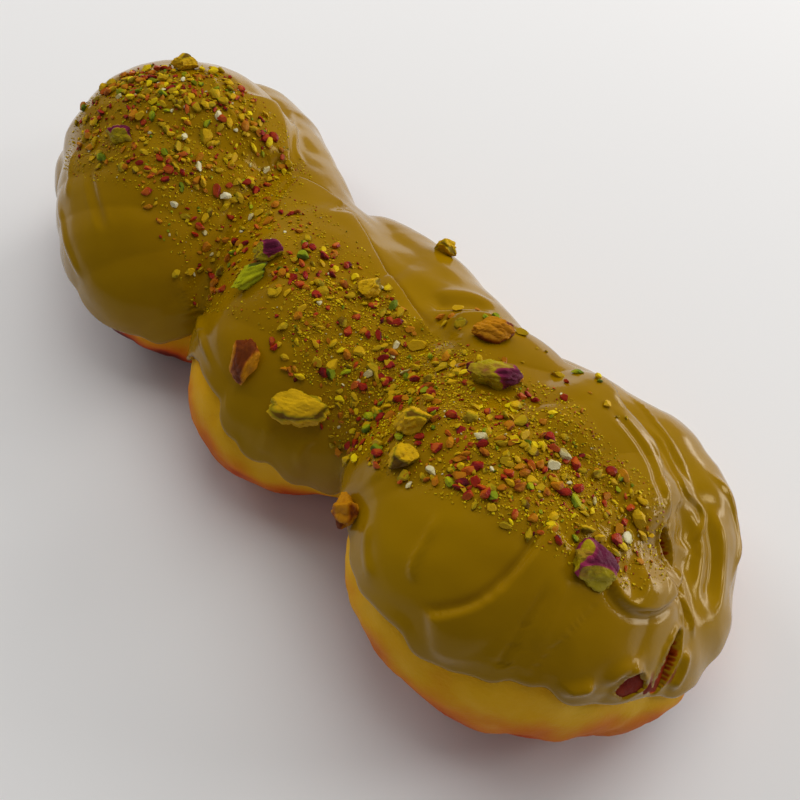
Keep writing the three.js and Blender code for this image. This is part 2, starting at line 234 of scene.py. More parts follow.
@dataclass
class Twist:
    """The form of the two strands, as distances that every surface is found from.

    Attributes:
        stations: The stations of each strand.
        flatness: Height of a strand's section for each unit of width.
        sections: The round sections along each strand, as centre and radius.
    """

    stations: tuple = (STRAND_A, STRAND_B)
    flatness: float = STRAND_FLATNESS
    sections: list[np.ndarray] = field(default_factory=list)

    def __post_init__(self) -> None:
        """Takes the round sections along each strand."""
        for strand in self.stations:
            cut = smooth_through(np.array(strand), PATH_STEPS)
            cut[:, 2] /= self.flatness
            self.sections.append(cut)

    def strand_distance(self, which: int, points: np.ndarray) -> np.ndarray:
        """Distance from points to one strand, a chain of cones with round ends.

        Args:
            which: The strand, 0 or 1.
            points: Where it is measured, one point in each row.

        Returns:
            One distance for each point, less than 0 inside.
        """
        at = points / np.array([1, 1, self.flatness])
        nearest = np.full(len(points), np.inf)
        for a, b in zip(self.sections[which][:-1], self.sections[which][1:]):
            run = b[:3] - a[:3]
            off = at - a[:3]
            t = np.clip(off @ run / (run @ run), 0, 1)
            off -= t[:, None] * run
            reach = np.sqrt(np.einsum("ij,ij->i", off, off))
            nearest = np.minimum(nearest, reach - a[3] - t * (b[3] - a[3]))
        return nearest

    def distance(self, points: np.ndarray, blend: float) -> np.ndarray:
        """Distance to the twist, with the valley between the strands rounded.

        Args:
            points: Where it is measured.
            blend: Radius over which the valley is filled.

        Returns:
            One distance for each point.
        """
        a = self.strand_distance(0, points)
        b = self.strand_distance(1, points)
        full = blend + self.valley_filling(points)
        h = np.clip(0.5 + (b - a) / (2 * full), 0, 1)
        return b + (a - b) * h - full * h * (1 - h)

    def valley_filling(self, points: np.ndarray) -> np.ndarray:
        """What the blend's radius gains over a filled valley.

        Args:
            points: Where it is wanted.

        Returns:
            One gain for each point, 0 away from the valleys.
        """
        across = eased(points[:, 1], *FILLED_SIDE) * (1 - eased(points[:, 1], *FILLED_END))
        gains = [
            radius * (eased(points[:, 0], *start) - eased(points[:, 0], *end))
            for start, end, radius in FILLED_VALLEYS
        ]
        return across * eased(points[:, 2], *FILLED_HEIGHT) * sum(gains)

    def facing(self, points: np.ndarray, blend: float) -> np.ndarray:
        """Unit normals of the surface at points on it.

        Args:
            points: The points.
            blend: Radius over which the valley is filled.

        Returns:
            One unit vector for each point.
        """
        slopes = [
            self.distance(points + step, blend) - self.distance(points - step, blend)
            for step in FACING_STEP * np.eye(3)
        ]
        normal = np.stack(slopes, axis=1)
        return normal / np.linalg.norm(normal, axis=1)[:, None]


@dataclass
class Spine:
    """The line that every surface is measured out from, and its columns of rays.

    Attributes:
        twist: The form of the strands.
        straight: Columns along each side.
        fan: Columns round each end.
        start: Where the line starts, along the twist.
        end: Where it ends.
        height: Its height above the plate.
        blend: Radius over which the valley between the strands is filled, where the rim is found.
    """

    twist: Twist
    straight: int
    fan: int
    start: float = -60.5
    end: float = 60.5
    height: float = 17.0
    blend: float = 4.0

    def __post_init__(self) -> None:
        """Places the columns and finds the rim of the cream on each."""
        along = np.linspace(self.start, self.end, self.straight + 1)
        round_end = np.arange(1, self.fan) / self.fan
        x = [along, np.full(self.fan - 1, self.end), along[::-1], np.full(self.fan - 1, self.start)]
        turn = [
            np.full_like(along, math.pi / 2),
            math.pi * (0.5 - round_end),
            np.full_like(along, -math.pi / 2),
            -math.pi * (0.5 + round_end),
        ]
        self.x = np.concatenate([*x, x[0][:1]])
        self.turn = np.concatenate([*turn, turn[0][:1]])
        self.rim = self.rim_elevation()

    def surface(self, elevation: np.ndarray, offset: np.ndarray | float, blend: float) -> np.ndarray:
        """Where each column's ray meets a surface, walking in from outside.

        Args:
            elevation: The ray's elevation on each column, in any number of rows.
            offset: How far the surface stands off the dough.
            blend: Radius over which the valley between the strands is filled.

        Returns:
            The points, with one more axis than elevation.
        """
        elevation = np.atleast_2d(elevation)
        turn = np.broadcast_to(self.turn, elevation.shape).ravel()
        rise = elevation.ravel()
        way = np.stack([np.cos(rise) * np.cos(turn), np.cos(rise) * np.sin(turn), np.sin(rise)], axis=1)
        start = np.zeros_like(way)
        start[:, 0] = np.broadcast_to(self.x, elevation.shape).ravel()
        start[:, 2] = self.height
        stand = np.broadcast_to(offset, elevation.shape).ravel()
        inside = np.full(len(way), RAY_START)
        outside = inside.copy()
        walking = np.arange(len(way))
        while len(walking):
            at = start[walking] + inside[walking, None] * way[walking]
            gap = self.twist.distance(at, blend) - stand[walking]
            moving = (gap > 0) & (inside[walking] > 0)
            walking = walking[moving]
            outside[walking] = inside[walking]
            inside[walking] -= np.maximum(RAY_PACE * gap[moving], RAY_STEP)
        for _ in range(RAY_HALVINGS):
            middle = (outside + inside) / 2
            out = self.twist.distance(start + middle[:, None] * way, blend) - stand > 0
            outside = np.where(out, middle, outside)
            inside = np.where(out, inside, middle)
        return (start + outside[:, None] * way).reshape(*elevation.shape, 3)

    def rim_elevation(self) -> np.ndarray:
        """Where the rim of the cream is on each column.

        Returns:
            The elevation at which each column's ray meets it.
        """
        low = np.full(len(self.x), -RIM_LIMIT)
        high = np.full(len(self.x), RIM_LIMIT)
        for _ in range(RIM_HALVINGS):
            middle = (low + high) / 2
            point = self.surface(middle, 0.0, self.blend)[0]
            above = point[:, 2] > rim_height(point)
            high = np.where(above, middle, high)
            low = np.where(above, low, middle)
        return (low + high) / 2


def rim_height(points: np.ndarray) -> np.ndarray:
    """Height of the cream's rim at places on the side of the twist.

    Args:
        points: The places.

    Returns:
        One height for each of them.
    """
    along, across = points[:, 0], points[:, 1]
    near_end = eased(along, *RIM_NEAR_END)
    low, high = (
        middle + (near - middle) * near_end for middle, near in zip(RIM_MIDDLE, RIM_NEAR_MIDDLE)
    )
    right = eased(across, low, high)
    base = eased_through(RIM_LEFT, along) * (1 - right) + eased_through(RIM_RIGHT, along) * right
    wave = np.sin(along / RIM_LONG_WAVE[0] + across / RIM_LONG_WAVE[1])
    wave += RIM_SHORT_SHARE * np.sin(along / RIM_SHORT_WAVE[0] - across / RIM_SHORT_WAVE[1] + 1)
    return base + RIM_WAVE * wave + RIM_DRIPS.lift(points)


# ------------------------------------------------------------------ folds in the cream


LINE_STEPS = 8          # short straight runs between two points of a fold's path
MARK_TAPER = 0.25       # share of its length over which a mark starts and ends
LIP_TAPER = 0.12        # and a lip
NEARNESS = (3.2, 4.6)   # how far from its line an opening has a part in anything

# The sections of the marks: heights as shares of a mark's own, the rest in units of its half
# width.
GROOVE_RIMS = (0.3, 1.9, 0.8)    # the raised rims: height, how far out, half width
LIP_FACE = 0.5                   # the steep face goes this far to each side of the line
LIP_FOOT = (0.3, 1.2)            # the hollow at the foot: depth, how far out
LIP_ENDS = 2                     # how far past its ends it dies away
SWELL_WIDTH = 2                  # how far the dough's rise reaches round an opening
OPENING_TIP = 0.05               # least square of an opening's width at its ends
OPENING_WALL = (0.75, 0.35)      # share of the half width where the wall starts, and how
                                 # many millimetres past it the wall ends
OPENING_RIM = (0.12, 0.8, 0.6)   # the raised rim: height, millimetres out and half width


class FoldKind(Enum):
    """How the cream lies along the line of a fold."""

    RIDGE = "ridge"
    GROOVE = "groove"
    LIP = "lip"
    OPENING = "opening"


@dataclass(frozen=True)
class Fold:
    """One mark that the spreading knife or the flowing cream left.

    Attributes:
        name: What the mark is.
        kind: How the cream lies along its line. A lip stands up on the left of the line,
            seen from outside, and falls off sharply on the right.
        path: The line's points on the surface: along the twist, across it, height.
        width: Half width of the mark.
        height: How far it stands up, or goes down.
        reach: How far a lip takes to level out again.
        swell: How far the dough rises in an opening.
    """

    name: str
    kind: FoldKind
    path: tuple[tuple[float, float, float], ...]
    width: float
    height: float
    reach: float = 6.0
    swell: float = 0.0

    def line(self) -> np.ndarray:
        """Points along the smooth line through the path."""
        return smooth_through(np.array(self.path, dtype=float), LINE_STEPS * (len(self.path) - 1))

    def relief(self, points: np.ndarray, normals: np.ndarray) -> np.ndarray:
        """How far the mark lifts each point of the surface.

        Args:
            points: The surface's points.
            normals: Their unit normals.

        Returns:
            One height for each point, less than 0 where the mark goes down.
        """
        line = self.line()
        margin = 3 * self.width + self.reach
        low, high = line.min(axis=0) - margin, line.max(axis=0) + margin
        near = np.all((points > low) & (points < high), axis=1)
        lift = np.zeros(len(points))
        if near.any():
            along, away, side = self.measure(points[near], normals[near])
            section = self.section(points[near], along, away, side)
            lift[near] = self.height * self.fade(along) * section
        return lift

    def fade(self, along: np.ndarray) -> np.ndarray:
        """How much of the mark is left towards its ends.

        Args:
            along: How far along the line each point is, from 0 to 1.

        Returns:
            One share for each point, 1 in the middle. An opening doesn't fade.
        """
        if self.kind is FoldKind.OPENING:
            return np.ones_like(along)
        taper = LIP_TAPER if self.kind is FoldKind.LIP else MARK_TAPER
        return eased(np.minimum(along, 1 - along), 0, taper)

    def section(
        self, points: np.ndarray, along: np.ndarray, away: np.ndarray, side: np.ndarray
    ) -> np.ndarray:
        """The form of the mark across its line, for a height of 1.

        Args:
            points: The points near the mark.
            along: How far along the line each is, from 0 to 1.
            away: How far each is from the line.
            side: How far each is to the left of it.

        Returns:
            One height for each point.
        """
        if self.kind is FoldKind.RIDGE:
            return bell(away, self.width)
        if self.kind is FoldKind.GROOVE:
            height, out, half = GROOVE_RIMS
            rims = bell(away - out * self.width, half * self.width)
            return height * rims - bell(away, self.width)
        if self.kind is FoldKind.LIP:
            depth, out = LIP_FOOT
            up = eased(side, -LIP_FACE * self.width, LIP_FACE * self.width)
            fall = bell(np.maximum(side, 0), self.reach)
            foot = bell(side + out * self.width, self.width)
            beyond = np.sqrt(np.maximum(away**2 - side**2, 0))
            return (up * fall - depth * foot) * bell(beyond, LIP_ENDS * self.width)
        half = self.width * np.sqrt(np.clip(1 - (2 * along - 1) ** 2, OPENING_TIP, 1))
        half = half * (1 + RAGGED_EDGE.lift(points))
        height, out, rim = OPENING_RIM
        wall = eased(away, OPENING_WALL[0] * half, half + OPENING_WALL[1])
        return height * bell(away - half - out, rim) - (1 - wall)

    def swelling(self, points: np.ndarray, normals: np.ndarray) -> np.ndarray:
        """How far the dough rises in and round an opening.

        Args:
            points: The dough's points.
            normals: Their unit normals.

        Returns:
            One height for each point.
        """
        _, away, _ = self.measure(points, normals)
        return self.swell * bell(away, SWELL_WIDTH * self.width) * self.nearness(points)

    def nearness(self, points: np.ndarray) -> np.ndarray:
        """1 at points within a few millimetres of the line, and 0 farther off."""
        gap = np.min(np.linalg.norm(points[:, None] - self.line()[None], axis=2), axis=1)
        return 1 - eased(gap, *NEARNESS)

    def measure(
        self, points: np.ndarray, normals: np.ndarray
    ) -> tuple[np.ndarray, np.ndarray, np.ndarray]:
        """Where points of the surface lie beside the line, as seen along their normals.

        Args:
            points: The points.
            normals: Their unit normals.

        Returns:
            How far along the line each point is, from 0 to 1, how far it is from the line,
            and how far it is to the left of it.
        """
        line = self.line()
        best = np.full(len(points), np.inf)
        along = np.zeros(len(points))
        side = np.zeros(len(points))
        for index, (start, end) in enumerate(zip(line[:-1], line[1:])):
            run = end - start
            off = points - start
            t = np.clip(off @ run / (run @ run), 0, 1)
            off = off - t[:, None] * run
            off = off - np.einsum("ij,ij->i", off, normals)[:, None] * normals
            gap = np.sqrt(np.einsum("ij,ij->i", off, off))
            nearer = gap < best
            best = np.where(nearer, gap, best)
            along = np.where(nearer, (index + t) / (len(line) - 1), along)
            left = np.einsum("ij,ij->i", np.cross(normals, run / np.linalg.norm(run)), off)
            inner = (along > 0) & (along < 1)
            side = np.where(nearer, np.where(inner, np.copysign(gap, left), left), side)
        return along, best, side


FOLDS = (
    Fold("middle lobe over the right lobe", FoldKind.LIP,
         ((19.5, 0.5, 39), (13, 2.5, 38), (3, 5, 38), (-10, 10, 36), (-20.5, 13.5, 35)), 0.7, 1.7, 9.0),
    Fold("near crossing over the right lobe", FoldKind.LIP,
         ((75, 3, 35), (70.5, 5.5, 38.5), (65, 10.5, 38.5), (59.5, 12.5, 39.5),
          (53.5, 12.5, 41.5), (46, 15.5, 37.5), (36.5, 15, 36.5), (28.5, 12, 38.5),
          (24, 10, 39), (21, 6.5, 39), (18.5, 3, 39)), 0.8, 2.6, 11.0),
    Fold("pool beside the crossing", FoldKind.GROOVE,
         ((12, 6.5, 37.5), (15.5, 9.5, 37.5), (18.5, 14, 37), (22.5, 16.5, 36)), 1.8, 1.2),
    Fold("middle lobe over the far lobe", FoldKind.LIP,
         ((-20, 14, 34.5), (-27, 12.5, 35), (-33.5, 9.5, 36)), 0.8, 1.1, 7.0),
    Fold("far shoulder, first ridge", FoldKind.LIP,
         ((-35.5, 11, 35.5), (-41.5, 14, 37), (-48.5, 17.5, 38.5), (-54, 19, 39.5)), 0.8, 1.3, 8.0),
    Fold("far shoulder, second ridge", FoldKind.RIDGE,
         ((-36, 14.5, 34.5), (-46, 21, 34), (-65, 33, 25.5)), 0.8, 0.6),
    Fold("far top stroke", FoldKind.RIDGE,
         ((-64, 9, 46.5), (-57, 6, 47.5), (-50, 4.5, 46.5), (-46.5, 5, 44.5)), 0.7, 0.5),
    Fold("groove behind the thick lip", FoldKind.GROOVE,
         ((72, 1.5, 39), (68.5, 4.5, 40.5), (64, 7.5, 40.5), (59, 8.5, 42), (53.5, 8, 44.5)), 0.8, 0.4),
    Fold("near right, first bright fold", FoldKind.RIDGE,
         ((55, 21.5, 31.5), (60.5, 21, 31), (65, 18.5, 32), (70.5, 15, 33),
          (74, 16.5, 29.5), (76, 15.5, 28.5), (77, 12.5, 28.5), (77.5, 8.5, 29.5)), 0.6, 0.9),
    Fold("near right, second bright fold", FoldKind.RIDGE,
         ((47.5, 27, 28), (55, 25, 30), (60.5, 23, 30.5), (66, 21, 30.5), (71, 18.5, 30)), 0.45, 0.6),
    Fold("near right, pool", FoldKind.GROOVE,
         ((72, 11, 34.5), (75, 10, 31.5), (77.5, 6.5, 30)), 2.2, 0.8),
    Fold("near right, long valley", FoldKind.GROOVE,
         ((73.5, 17.5, 29.5), (79, 14, 27), (83.5, 9.5, 26), (86.5, 3, 26.5)), 1.6, 1.0),
    Fold("near right, outer fold", FoldKind.RIDGE,
         ((69.5, 24.5, 28), (75, 25.5, 25.5), (79.5, 24, 22.5),
          (83.5, 20.5, 21), (87.5, 13.5, 21)), 1.0, 0.7),
    Fold("crease below the dark hole", FoldKind.GROOVE,
         ((77, 2.5, 32.5), (82, -0.5, 30.5), (87, -3.5, 28.5)), 0.9, 0.9),
    Fold("near lobe, short arc", FoldKind.RIDGE,
         ((50.5, -28, 46), (52, -32.5, 44), (53, -35.5, 42), (55, -37.5, 40.5)), 0.6, 0.6),
    Fold("near lobe, long arc", FoldKind.LIP,
         ((62.5, -17.5, 47.5), (63, -19.5, 47.5), (64, -23, 46.5), (64.5, -28.5, 45),
          (63.5, -33, 42.5), (61, -37, 40.5), (58.5, -39, 39)), 0.5, 1.3, 9.0),
    Fold("near lobe, thin streak", FoldKind.GROOVE,
         ((68, -23, 45), (69.5, -28, 42.5), (71, -33, 39.5), (71.5, -36.5, 36)), 0.5, 0.4),
    Fold("near lobe, faint streak", FoldKind.RIDGE,
         ((69.5, -20.5, 45), (72, -26, 42.5), (73.5, -31, 39)), 0.9, 0.3),
    Fold("near lobe, left streak", FoldKind.RIDGE,
         ((42, -34.5, 38.5), (45, -38, 37), (49.5, -40.5, 36)), 0.9, 0.4),
    Fold("middle lobe, near stroke", FoldKind.LIP,
         ((39, -29, 41.5), (34.5, -25.5, 40.5), (27.5, -22.5, 35.5)), 0.7, 0.6),
    Fold("middle lobe, side stroke", FoldKind.RIDGE,
         ((20, -27, 30.5), (19, -30, 28), (20, -32, 22.5)), 0.8, 0.5),
    Fold("middle lobe, far stroke", FoldKind.RIDGE,
         ((12.5, -32, 30.5), (13.5, -34, 27.5), (14.5, -35.5, 24.5)), 0.9, 0.4),
    Fold("crease beside the far left lobe", FoldKind.RIDGE,
         ((-29.5, -25.5, 31), (-24.5, -25.5, 27), (-12, -30.5, 31), (-3, -34, 32)), 0.8, 0.7),
    Fold("far left lobe, first streak", FoldKind.RIDGE,
         ((-65, -31.5, 30), (-56.5, -35, 30), (-49, -38, 28.5), (-42.5, -39, 25.5)), 1.0, 0.6),
    Fold("far left lobe, third streak", FoldKind.RIDGE,
         ((-68, -24, 37.5), (-63.5, -28, 35.5), (-58.5, -32, 33.5)), 0.8, 0.4),
    Fold("bubble, lowest", FoldKind.GROOVE,
         ((72, -34.5, 38), (72, -35, 37.5)), 1.0, 0.3),
    Fold("bubble, middle", FoldKind.GROOVE,
         ((71.5, -32, 40), (71.5, -32.5, 39.5)), 0.8, 0.25),
    Fold("bubble, upper", FoldKind.GROOVE,
         ((70, -29.5, 42), (70.5, -30, 41.5)), 0.6, 0.25),
    Fold("far left lobe, second streak", FoldKind.GROOVE,
         ((-59.5, -25.5, 39.5), (-51, -29, 37.5), (-43, -31.5, 35)), 0.9, 0.4),
    Fold("curl", FoldKind.LIP,
         ((73, -14, 43), (75, -15.5, 42), (77, -15.5, 41), (79, -14, 39),
          (81, -10, 36.5), (81, -5.5, 34), (80, -1, 32), (78, 1, 32.5)), 0.8, 1.3, 3.5),
    Fold("curl's back", FoldKind.RIDGE,
         ((75, -11, 41), (77.5, -9, 39), (78.5, -6, 37), (77.5, -3, 35)), 3.2, 1.6),
    Fold("thread beside the slit", FoldKind.RIDGE,
         ((80, 0, 31.5), (83, -0.5, 30), (86, -1.5, 28.5), (88.5, -3, 27)), 0.5, 0.7),
    Fold("first lump at the rim", FoldKind.RIDGE,
         ((82.5, -25, 34.5), (81.5, -27, 34.5), (80.5, -29.5, 34.5), (79.5, -31, 32.5)), 1.0, 1.3),
    Fold("flap beside the slit", FoldKind.RIDGE,
         ((88, -5.5, 28), (90, -8.5, 25.5), (91, -12, 24)), 1.2, 1.2),
    Fold("dark hole", FoldKind.OPENING,
         ((73.5, 1, 37.5), (76, 1.5, 34.5), (78.5, 1, 32.5)), 1.5, 4.2),
    Fold("slit", FoldKind.OPENING,
         ((86, -6.5, 30.5), (87.5, -11, 29), (89.5, -15, 26.5)), 1.35, 4.2, swell=1.7),
    Fold("torn hole", FoldKind.OPENING,
         ((85.5, -21.5, 31.5), (86, -19.5, 31), (87, -17.5, 30)), 2.0, 4.2, swell=1.5),
    Fold("brow over the torn hole", FoldKind.RIDGE,
         ((84, -23.5, 33), (83.5, -21.5, 34.5), (84, -19, 34), (85.5, -16.5, 32)), 1.3, 0.9),
)


# ------------------------------------------------------------------ meshes

DOUBLES = 0.00002    # vertices closer than this, in metres, are one


def only(obj: bpy.types.Object | None) -> None:
    """Deselects everything, then selects and activates one object.

    Args:
        obj: The object, or nothing to leave everything deselected.
    """
    bpy.ops.object.select_all(action="DESELECT")
    if obj is not None:
        obj.select_set(True)
        bpy.context.view_layer.objects.active = obj


def shell_from_rows(name: str, rows: np.ndarray) -> bpy.types.Object:
    """A closed piece from rows of points that go round the twist.

    Args:
        name: The piece's name.
        rows: The points in millimetres, row by column, the last column on the first.

    Returns:
        The piece, its doubles merged and its faces pointing outwards.
    """
    down, across = rows.shape[0] - 1, rows.shape[1] - 1
    only(None)
    bpy.ops.mesh.primitive_grid_add(x_subdivisions=across, y_subdivisions=down, size=2)
    piece = bpy.context.object
    piece.name = name
    flat = np.empty(len(piece.data.vertices) * 3)
    piece.data.vertices.foreach_get("co", flat)
    flat = flat.reshape(-1, 3)
    column = np.rint((flat[:, 0] + 1) / 2 * across).astype(int)
    row = np.rint((flat[:, 1] + 1) / 2 * down).astype(int)
    piece.data.vertices.foreach_set("co", (rows[row, column] * MM).ravel())
    piece.data.update()
    only(piece)
    bpy.ops.object.mode_set(mode="EDIT")
    bpy.ops.mesh.select_all(action="SELECT")
    bpy.ops.mesh.remove_doubles(threshold=DOUBLES)
    bpy.ops.mesh.normals_make_consistent(inside=False)
    bpy.ops.object.mode_set(mode="OBJECT")
    bpy.ops.object.shade_smooth()
    return piece


def vertices_of(piece: bpy.types.Object) -> np.ndarray:
    """Reads where a piece's vertices are.

    Args:
        piece: The piece.

    Returns:
        The points, in millimetres.
    """
    flat = np.empty(len(piece.data.vertices) * 3)
    piece.data.vertices.foreach_get("co", flat)
    return flat.reshape(-1, 3) / MM


def mark(piece: bpy.types.Object, name: str, values: np.ndarray) -> None:
    """Gives a piece a number on each vertex, for its material to read."""
    attribute = piece.data.attributes.new(name, "FLOAT", "POINT")
    attribute.data.foreach_set("value", values.astype(np.float32))


def finish_piece(
    piece: bpy.types.Object, material: bpy.types.Material, slot: str, *nodes: str
) -> None:
    """Dresses a piece, ties it to the twist and hides the solids that it replaces.

    Args:
        piece: The piece.
        material: Its finish.
        slot: Not used.
        nodes: The solids that it replaces, if any.
    """
    piece.data.materials.clear()
    piece.data.materials.append(material)
    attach(piece, "root")
    if nodes:
        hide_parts(*nodes)
    piece.data.calc_loop_triangles()
    log.info("%s: %d triangles", piece.name, len(piece.data.loop_triangles))


# ------------------------------------------------------------------ finishes


class NodeBoard:
    """A short way to place and join shader nodes."""

    def __init__(self, tree: bpy.types.NodeTree) -> None:
        """Keeps the tree that the nodes go in."""
        self.tree = tree

    def add(self, kind: str, **settings: object) -> bpy.types.Node:
        """Adds a node and sets its settings and its unlinked sockets.

        Args:
            kind: The node's type.
            settings: Node properties, or socket names with spaces written as underscores.

        Returns:
            The node.
        """
        node = self.tree.nodes.new(kind)
        for key, value in settings.items():
            if hasattr(node, key):
                setattr(node, key, value)
            else:
                node.inputs[key.replace("_", " ")].default_value = value
        return node

    def join(self, start: bpy.types.NodeSocket, end: bpy.types.NodeSocket) -> None:
        """Joins an output to an input."""
        self.tree.links.new(start, end)


def mottle_group() -> bpy.types.NodeTree:
    """Makes the shared group that gives any finish its uneven colour and its fine bumps.

    Returns:
        The group.
    """
    group = bpy.data.node_groups.new("Mottling", "ShaderNodeTree")
    sockets = group.interface
    sockets.new_socket("Vector", in_out="INPUT", socket_type="NodeSocketVector")
    for name, value in (("Patch Scale", 60.0), ("Grain Scale", 900.0), ("Contrast", 1.0)):
        sockets.new_socket(name, in_out="INPUT", socket_type="NodeSocketFloat").default_value = value
    sockets.new_socket("Patches", in_out="OUTPUT", socket_type="NodeSocketFloat")
    sockets.new_socket("Grain", in_out="OUTPUT", socket_type="NodeSocketFloat")
    board = NodeBoard(group)
    entry = board.add("NodeGroupInput")
    leave = board.add("NodeGroupOutput")
    patches = board.add("ShaderNodeTexNoise", Detail=4.0, Roughness=0.55)
    grain = board.add("ShaderNodeTexNoise", Detail=3.0, Roughness=0.6)
    spread = board.add("ShaderNodeMath", operation="MULTIPLY_ADD", use_clamp=True)
    centre = board.add("ShaderNodeMath", operation="SUBTRACT")
    centre.inputs[1].default_value = 0.5
    spread.inputs[2].default_value = 0.5
    board.join(entry.outputs["Vector"], patches.inputs["Vector"])
    board.join(entry.outputs["Vector"], grain.inputs["Vector"])
    board.join(entry.outputs["Patch Scale"], patches.inputs["Scale"])
    board.join(entry.outputs["Grain Scale"], grain.inputs["Scale"])
    board.join(patches.outputs["Fac"], centre.inputs[0])
    board.join(centre.outputs[0], spread.inputs[0])
    board.join(entry.outputs["Contrast"], spread.inputs[1])
    board.join(spread.outputs[0], leave.inputs["Patches"])
    board.join(grain.outputs["Fac"], leave.inputs["Grain"])
    return group


def colour(hexadecimal: str) -> tuple[float, float, float, float]:
    """A colour for a shader.

    Args:
        hexadecimal: How it is written for a screen, as three pairs of digits.

    Returns:
        Its red, green and blue as a shader has them, and full cover.
    """
    shown = [int(hexadecimal[i:i + 2], 16) / 255 for i in (0, 2, 4)]
    linear = [c / 12.92 if c <= 0.04045 else ((c + 0.055) / 1.055) ** 2.4 for c in shown]
    return (*linear, 1.0)


@dataclass(frozen=True)
class Finish:
    """A finish whose colour runs through stops read off an attribute of the piece.

    Attributes:
        name: The material's name.
        stops: Colours along the attribute, from 0 to 1, as screen colours.
        attribute: The attribute.
        roughness: The smoothest and the roughest that the surface is.
        patch_scale: How many patches there are in a metre, about.
        grain_scale: How many grains there are in a metre, about.
        grain_height: Depth of the grains, in metres.
        patch_share: How much the patches shift the attribute.
        specular: Strength of its reflections.
        sheen: Their colour.
        contrast: How strongly the patches differ.
    """

    name: str
    stops: tuple[tuple[float, str], ...]
    attribute: str
    roughness: tuple[float, float] = (0.5, 0.6)
    patch_scale: float = 60.0
    grain_scale: float = 900.0
    grain_height: float = 0.0001
    patch_share: float = 0.3
    specular: float = 0.3
    sheen: str = "FFFFFF"
    contrast: float = 1.8

    def material(self, mottling: bpy.types.NodeTree) -> bpy.types.Material:
        """Builds the material.

        Args:
            mottling: The shared group of patches and grain.

        Returns:
            The material.
        """
        made = bpy.data.materials.new(self.name)
        made.use_nodes = True
        board = NodeBoard(made.node_tree)
        shader = made.node_tree.nodes["Principled BSDF"]
        place = board.add("ShaderNodeTexCoord")
        uneven = board.add("ShaderNodeGroup", node_tree=mottling)
        uneven.inputs["Patch Scale"].default_value = self.patch_scale
        uneven.inputs["Grain Scale"].default_value = self.grain_scale
        uneven.inputs["Contrast"].default_value = self.contrast
        board.join(place.outputs["Object"], uneven.inputs["Vector"])
        ramp = board.add("ShaderNodeValToRGB")
        stops = ramp.color_ramp.elements
        while len(stops) < len(self.stops):
            stops.new(0.5)
        for stop, (at, shown) in zip(stops, self.stops):
            stop.position = at
            stop.color = colour(shown)
        read = board.add("ShaderNodeAttribute", attribute_name=self.attribute)
        shift = board.add("ShaderNodeMath", operation="MULTIPLY_ADD")
        shift.inputs[1].default_value = self.patch_share
        shift.inputs[2].default_value = -0.5 * self.patch_share
        total = board.add("ShaderNodeMath", operation="ADD", use_clamp=True)
        board.join(uneven.outputs["Patches"], shift.inputs[0])
        board.join(shift.outputs[0], total.inputs[0])
        board.join(read.outputs["Fac"], total.inputs[1])
        board.join(total.outputs[0], ramp.inputs["Fac"])
        board.join(ramp.outputs["Color"], shader.inputs["Base Color"])
        rough = board.add("ShaderNodeMapRange")
        rough.inputs["To Min"].default_value = self.roughness[0]
        rough.inputs["To Max"].default_value = self.roughness[1]
        board.join(uneven.outputs["Patches"], rough.inputs["Value"])
        board.join(rough.outputs["Result"], shader.inputs["Roughness"])
        bump = board.add("ShaderNodeBump", Strength=1.0, Distance=self.grain_height)
        board.join(uneven.outputs["Grain"], bump.inputs["Height"])
        board.join(bump.outputs["Normal"], shader.inputs["Normal"])
        shader.inputs["Specular IOR Level"].default_value = self.specular
        shader.inputs["Specular Tint"].default_value = colour(self.sheen)
        return made


# Its last two stops are the dough's brown shown in the openings, the darkest one partly painted shade
# deep in their hollows.
CREAM = Finish(
    "pistachio_cream",
    ((0.0, "8C6600"), (0.15, "967000"), (0.3, "9E7800"), (0.5, "8C3800"), (1.0, "581400")),
    attribute="bare_dough_and_hollow_shade", patch_share=0.3,
    roughness=(0.13, 0.2), patch_scale=35, grain_scale=420, grain_height=0.00004, specular=0.28,
    sheen="FFE08C",
)
CRUST = Finish(
    "fried_crust",
    ((0.0, "E8B424"), (0.22, "E0A400"), (0.5, "D87A00"), (0.78, "BC4000"), (1.0, "6A1400")),
    attribute="browning", roughness=(0.5, 0.7), patch_scale=120, grain_scale=1500,
    grain_height=0.00015, patch_share=0.25, specular=0.1,
)


def nut_finish(
    name: str, *stops: tuple[float, str], roughness: tuple[float, float] = (0.5, 0.75)
) -> Finish:
    """A finish for chopped nut, read off how far each point is from a cut.

    Args:
        name: The material's name.
        stops: Colours from the cut face out to the skin.
        roughness: The smoothest and the roughest that the surface is.

    Returns:
        The finish.
    """
    return Finish(
        name, stops, attribute="skin", roughness=roughness,
        patch_scale=300, grain_scale=2500, patch_share=0.5,
    )


class NutKind(Enum):
    """The colours that chopped pistachios come in, as finishes."""

    YELLOW_GREEN = nut_finish(
        "nut_yellow_green", (0.0, "CCA000"), (0.4, "B89400"), (0.75, "968200"), (1.0, "6A4A00")
    )
    GREEN = nut_finish(
        "nut_green", (0.0, "A8A800"), (0.45, "76840A"), (0.75, "4A5E00"), (1.0, "3E3400")
    )
    PURPLE = nut_finish(
        "nut_purple_skin", (0.0, "A89400"), (0.16, "8A6418"), (0.26, "8A2448"), (1.0, "5C1030"),
        roughness=(0.45, 0.7),
    )
    RED = nut_finish(
        "nut_red_skin", (0.0, "C06010"), (0.35, "9C2408"), (0.7, "7A0C0C"), (1.0, "4A0810"),
        roughness=(0.3, 0.5),
    )
    TAN = nut_finish(
        "nut_tan", (0.0, "BC7C00"), (0.5, "AA6400"), (0.8, "924A00"), (1.0, "6A2C00")
    )
    MEAL = nut_finish(
        "nut_meal", (0.0, "E4CC00"), (0.5, "CCA800"), (1.0, "A88400"), roughness=(0.6, 0.8)
    )
    PALE = nut_finish("nut_pale", (0.0, "E0D8B0"), (0.6, "C8B878"), (1.0, "A08830"))


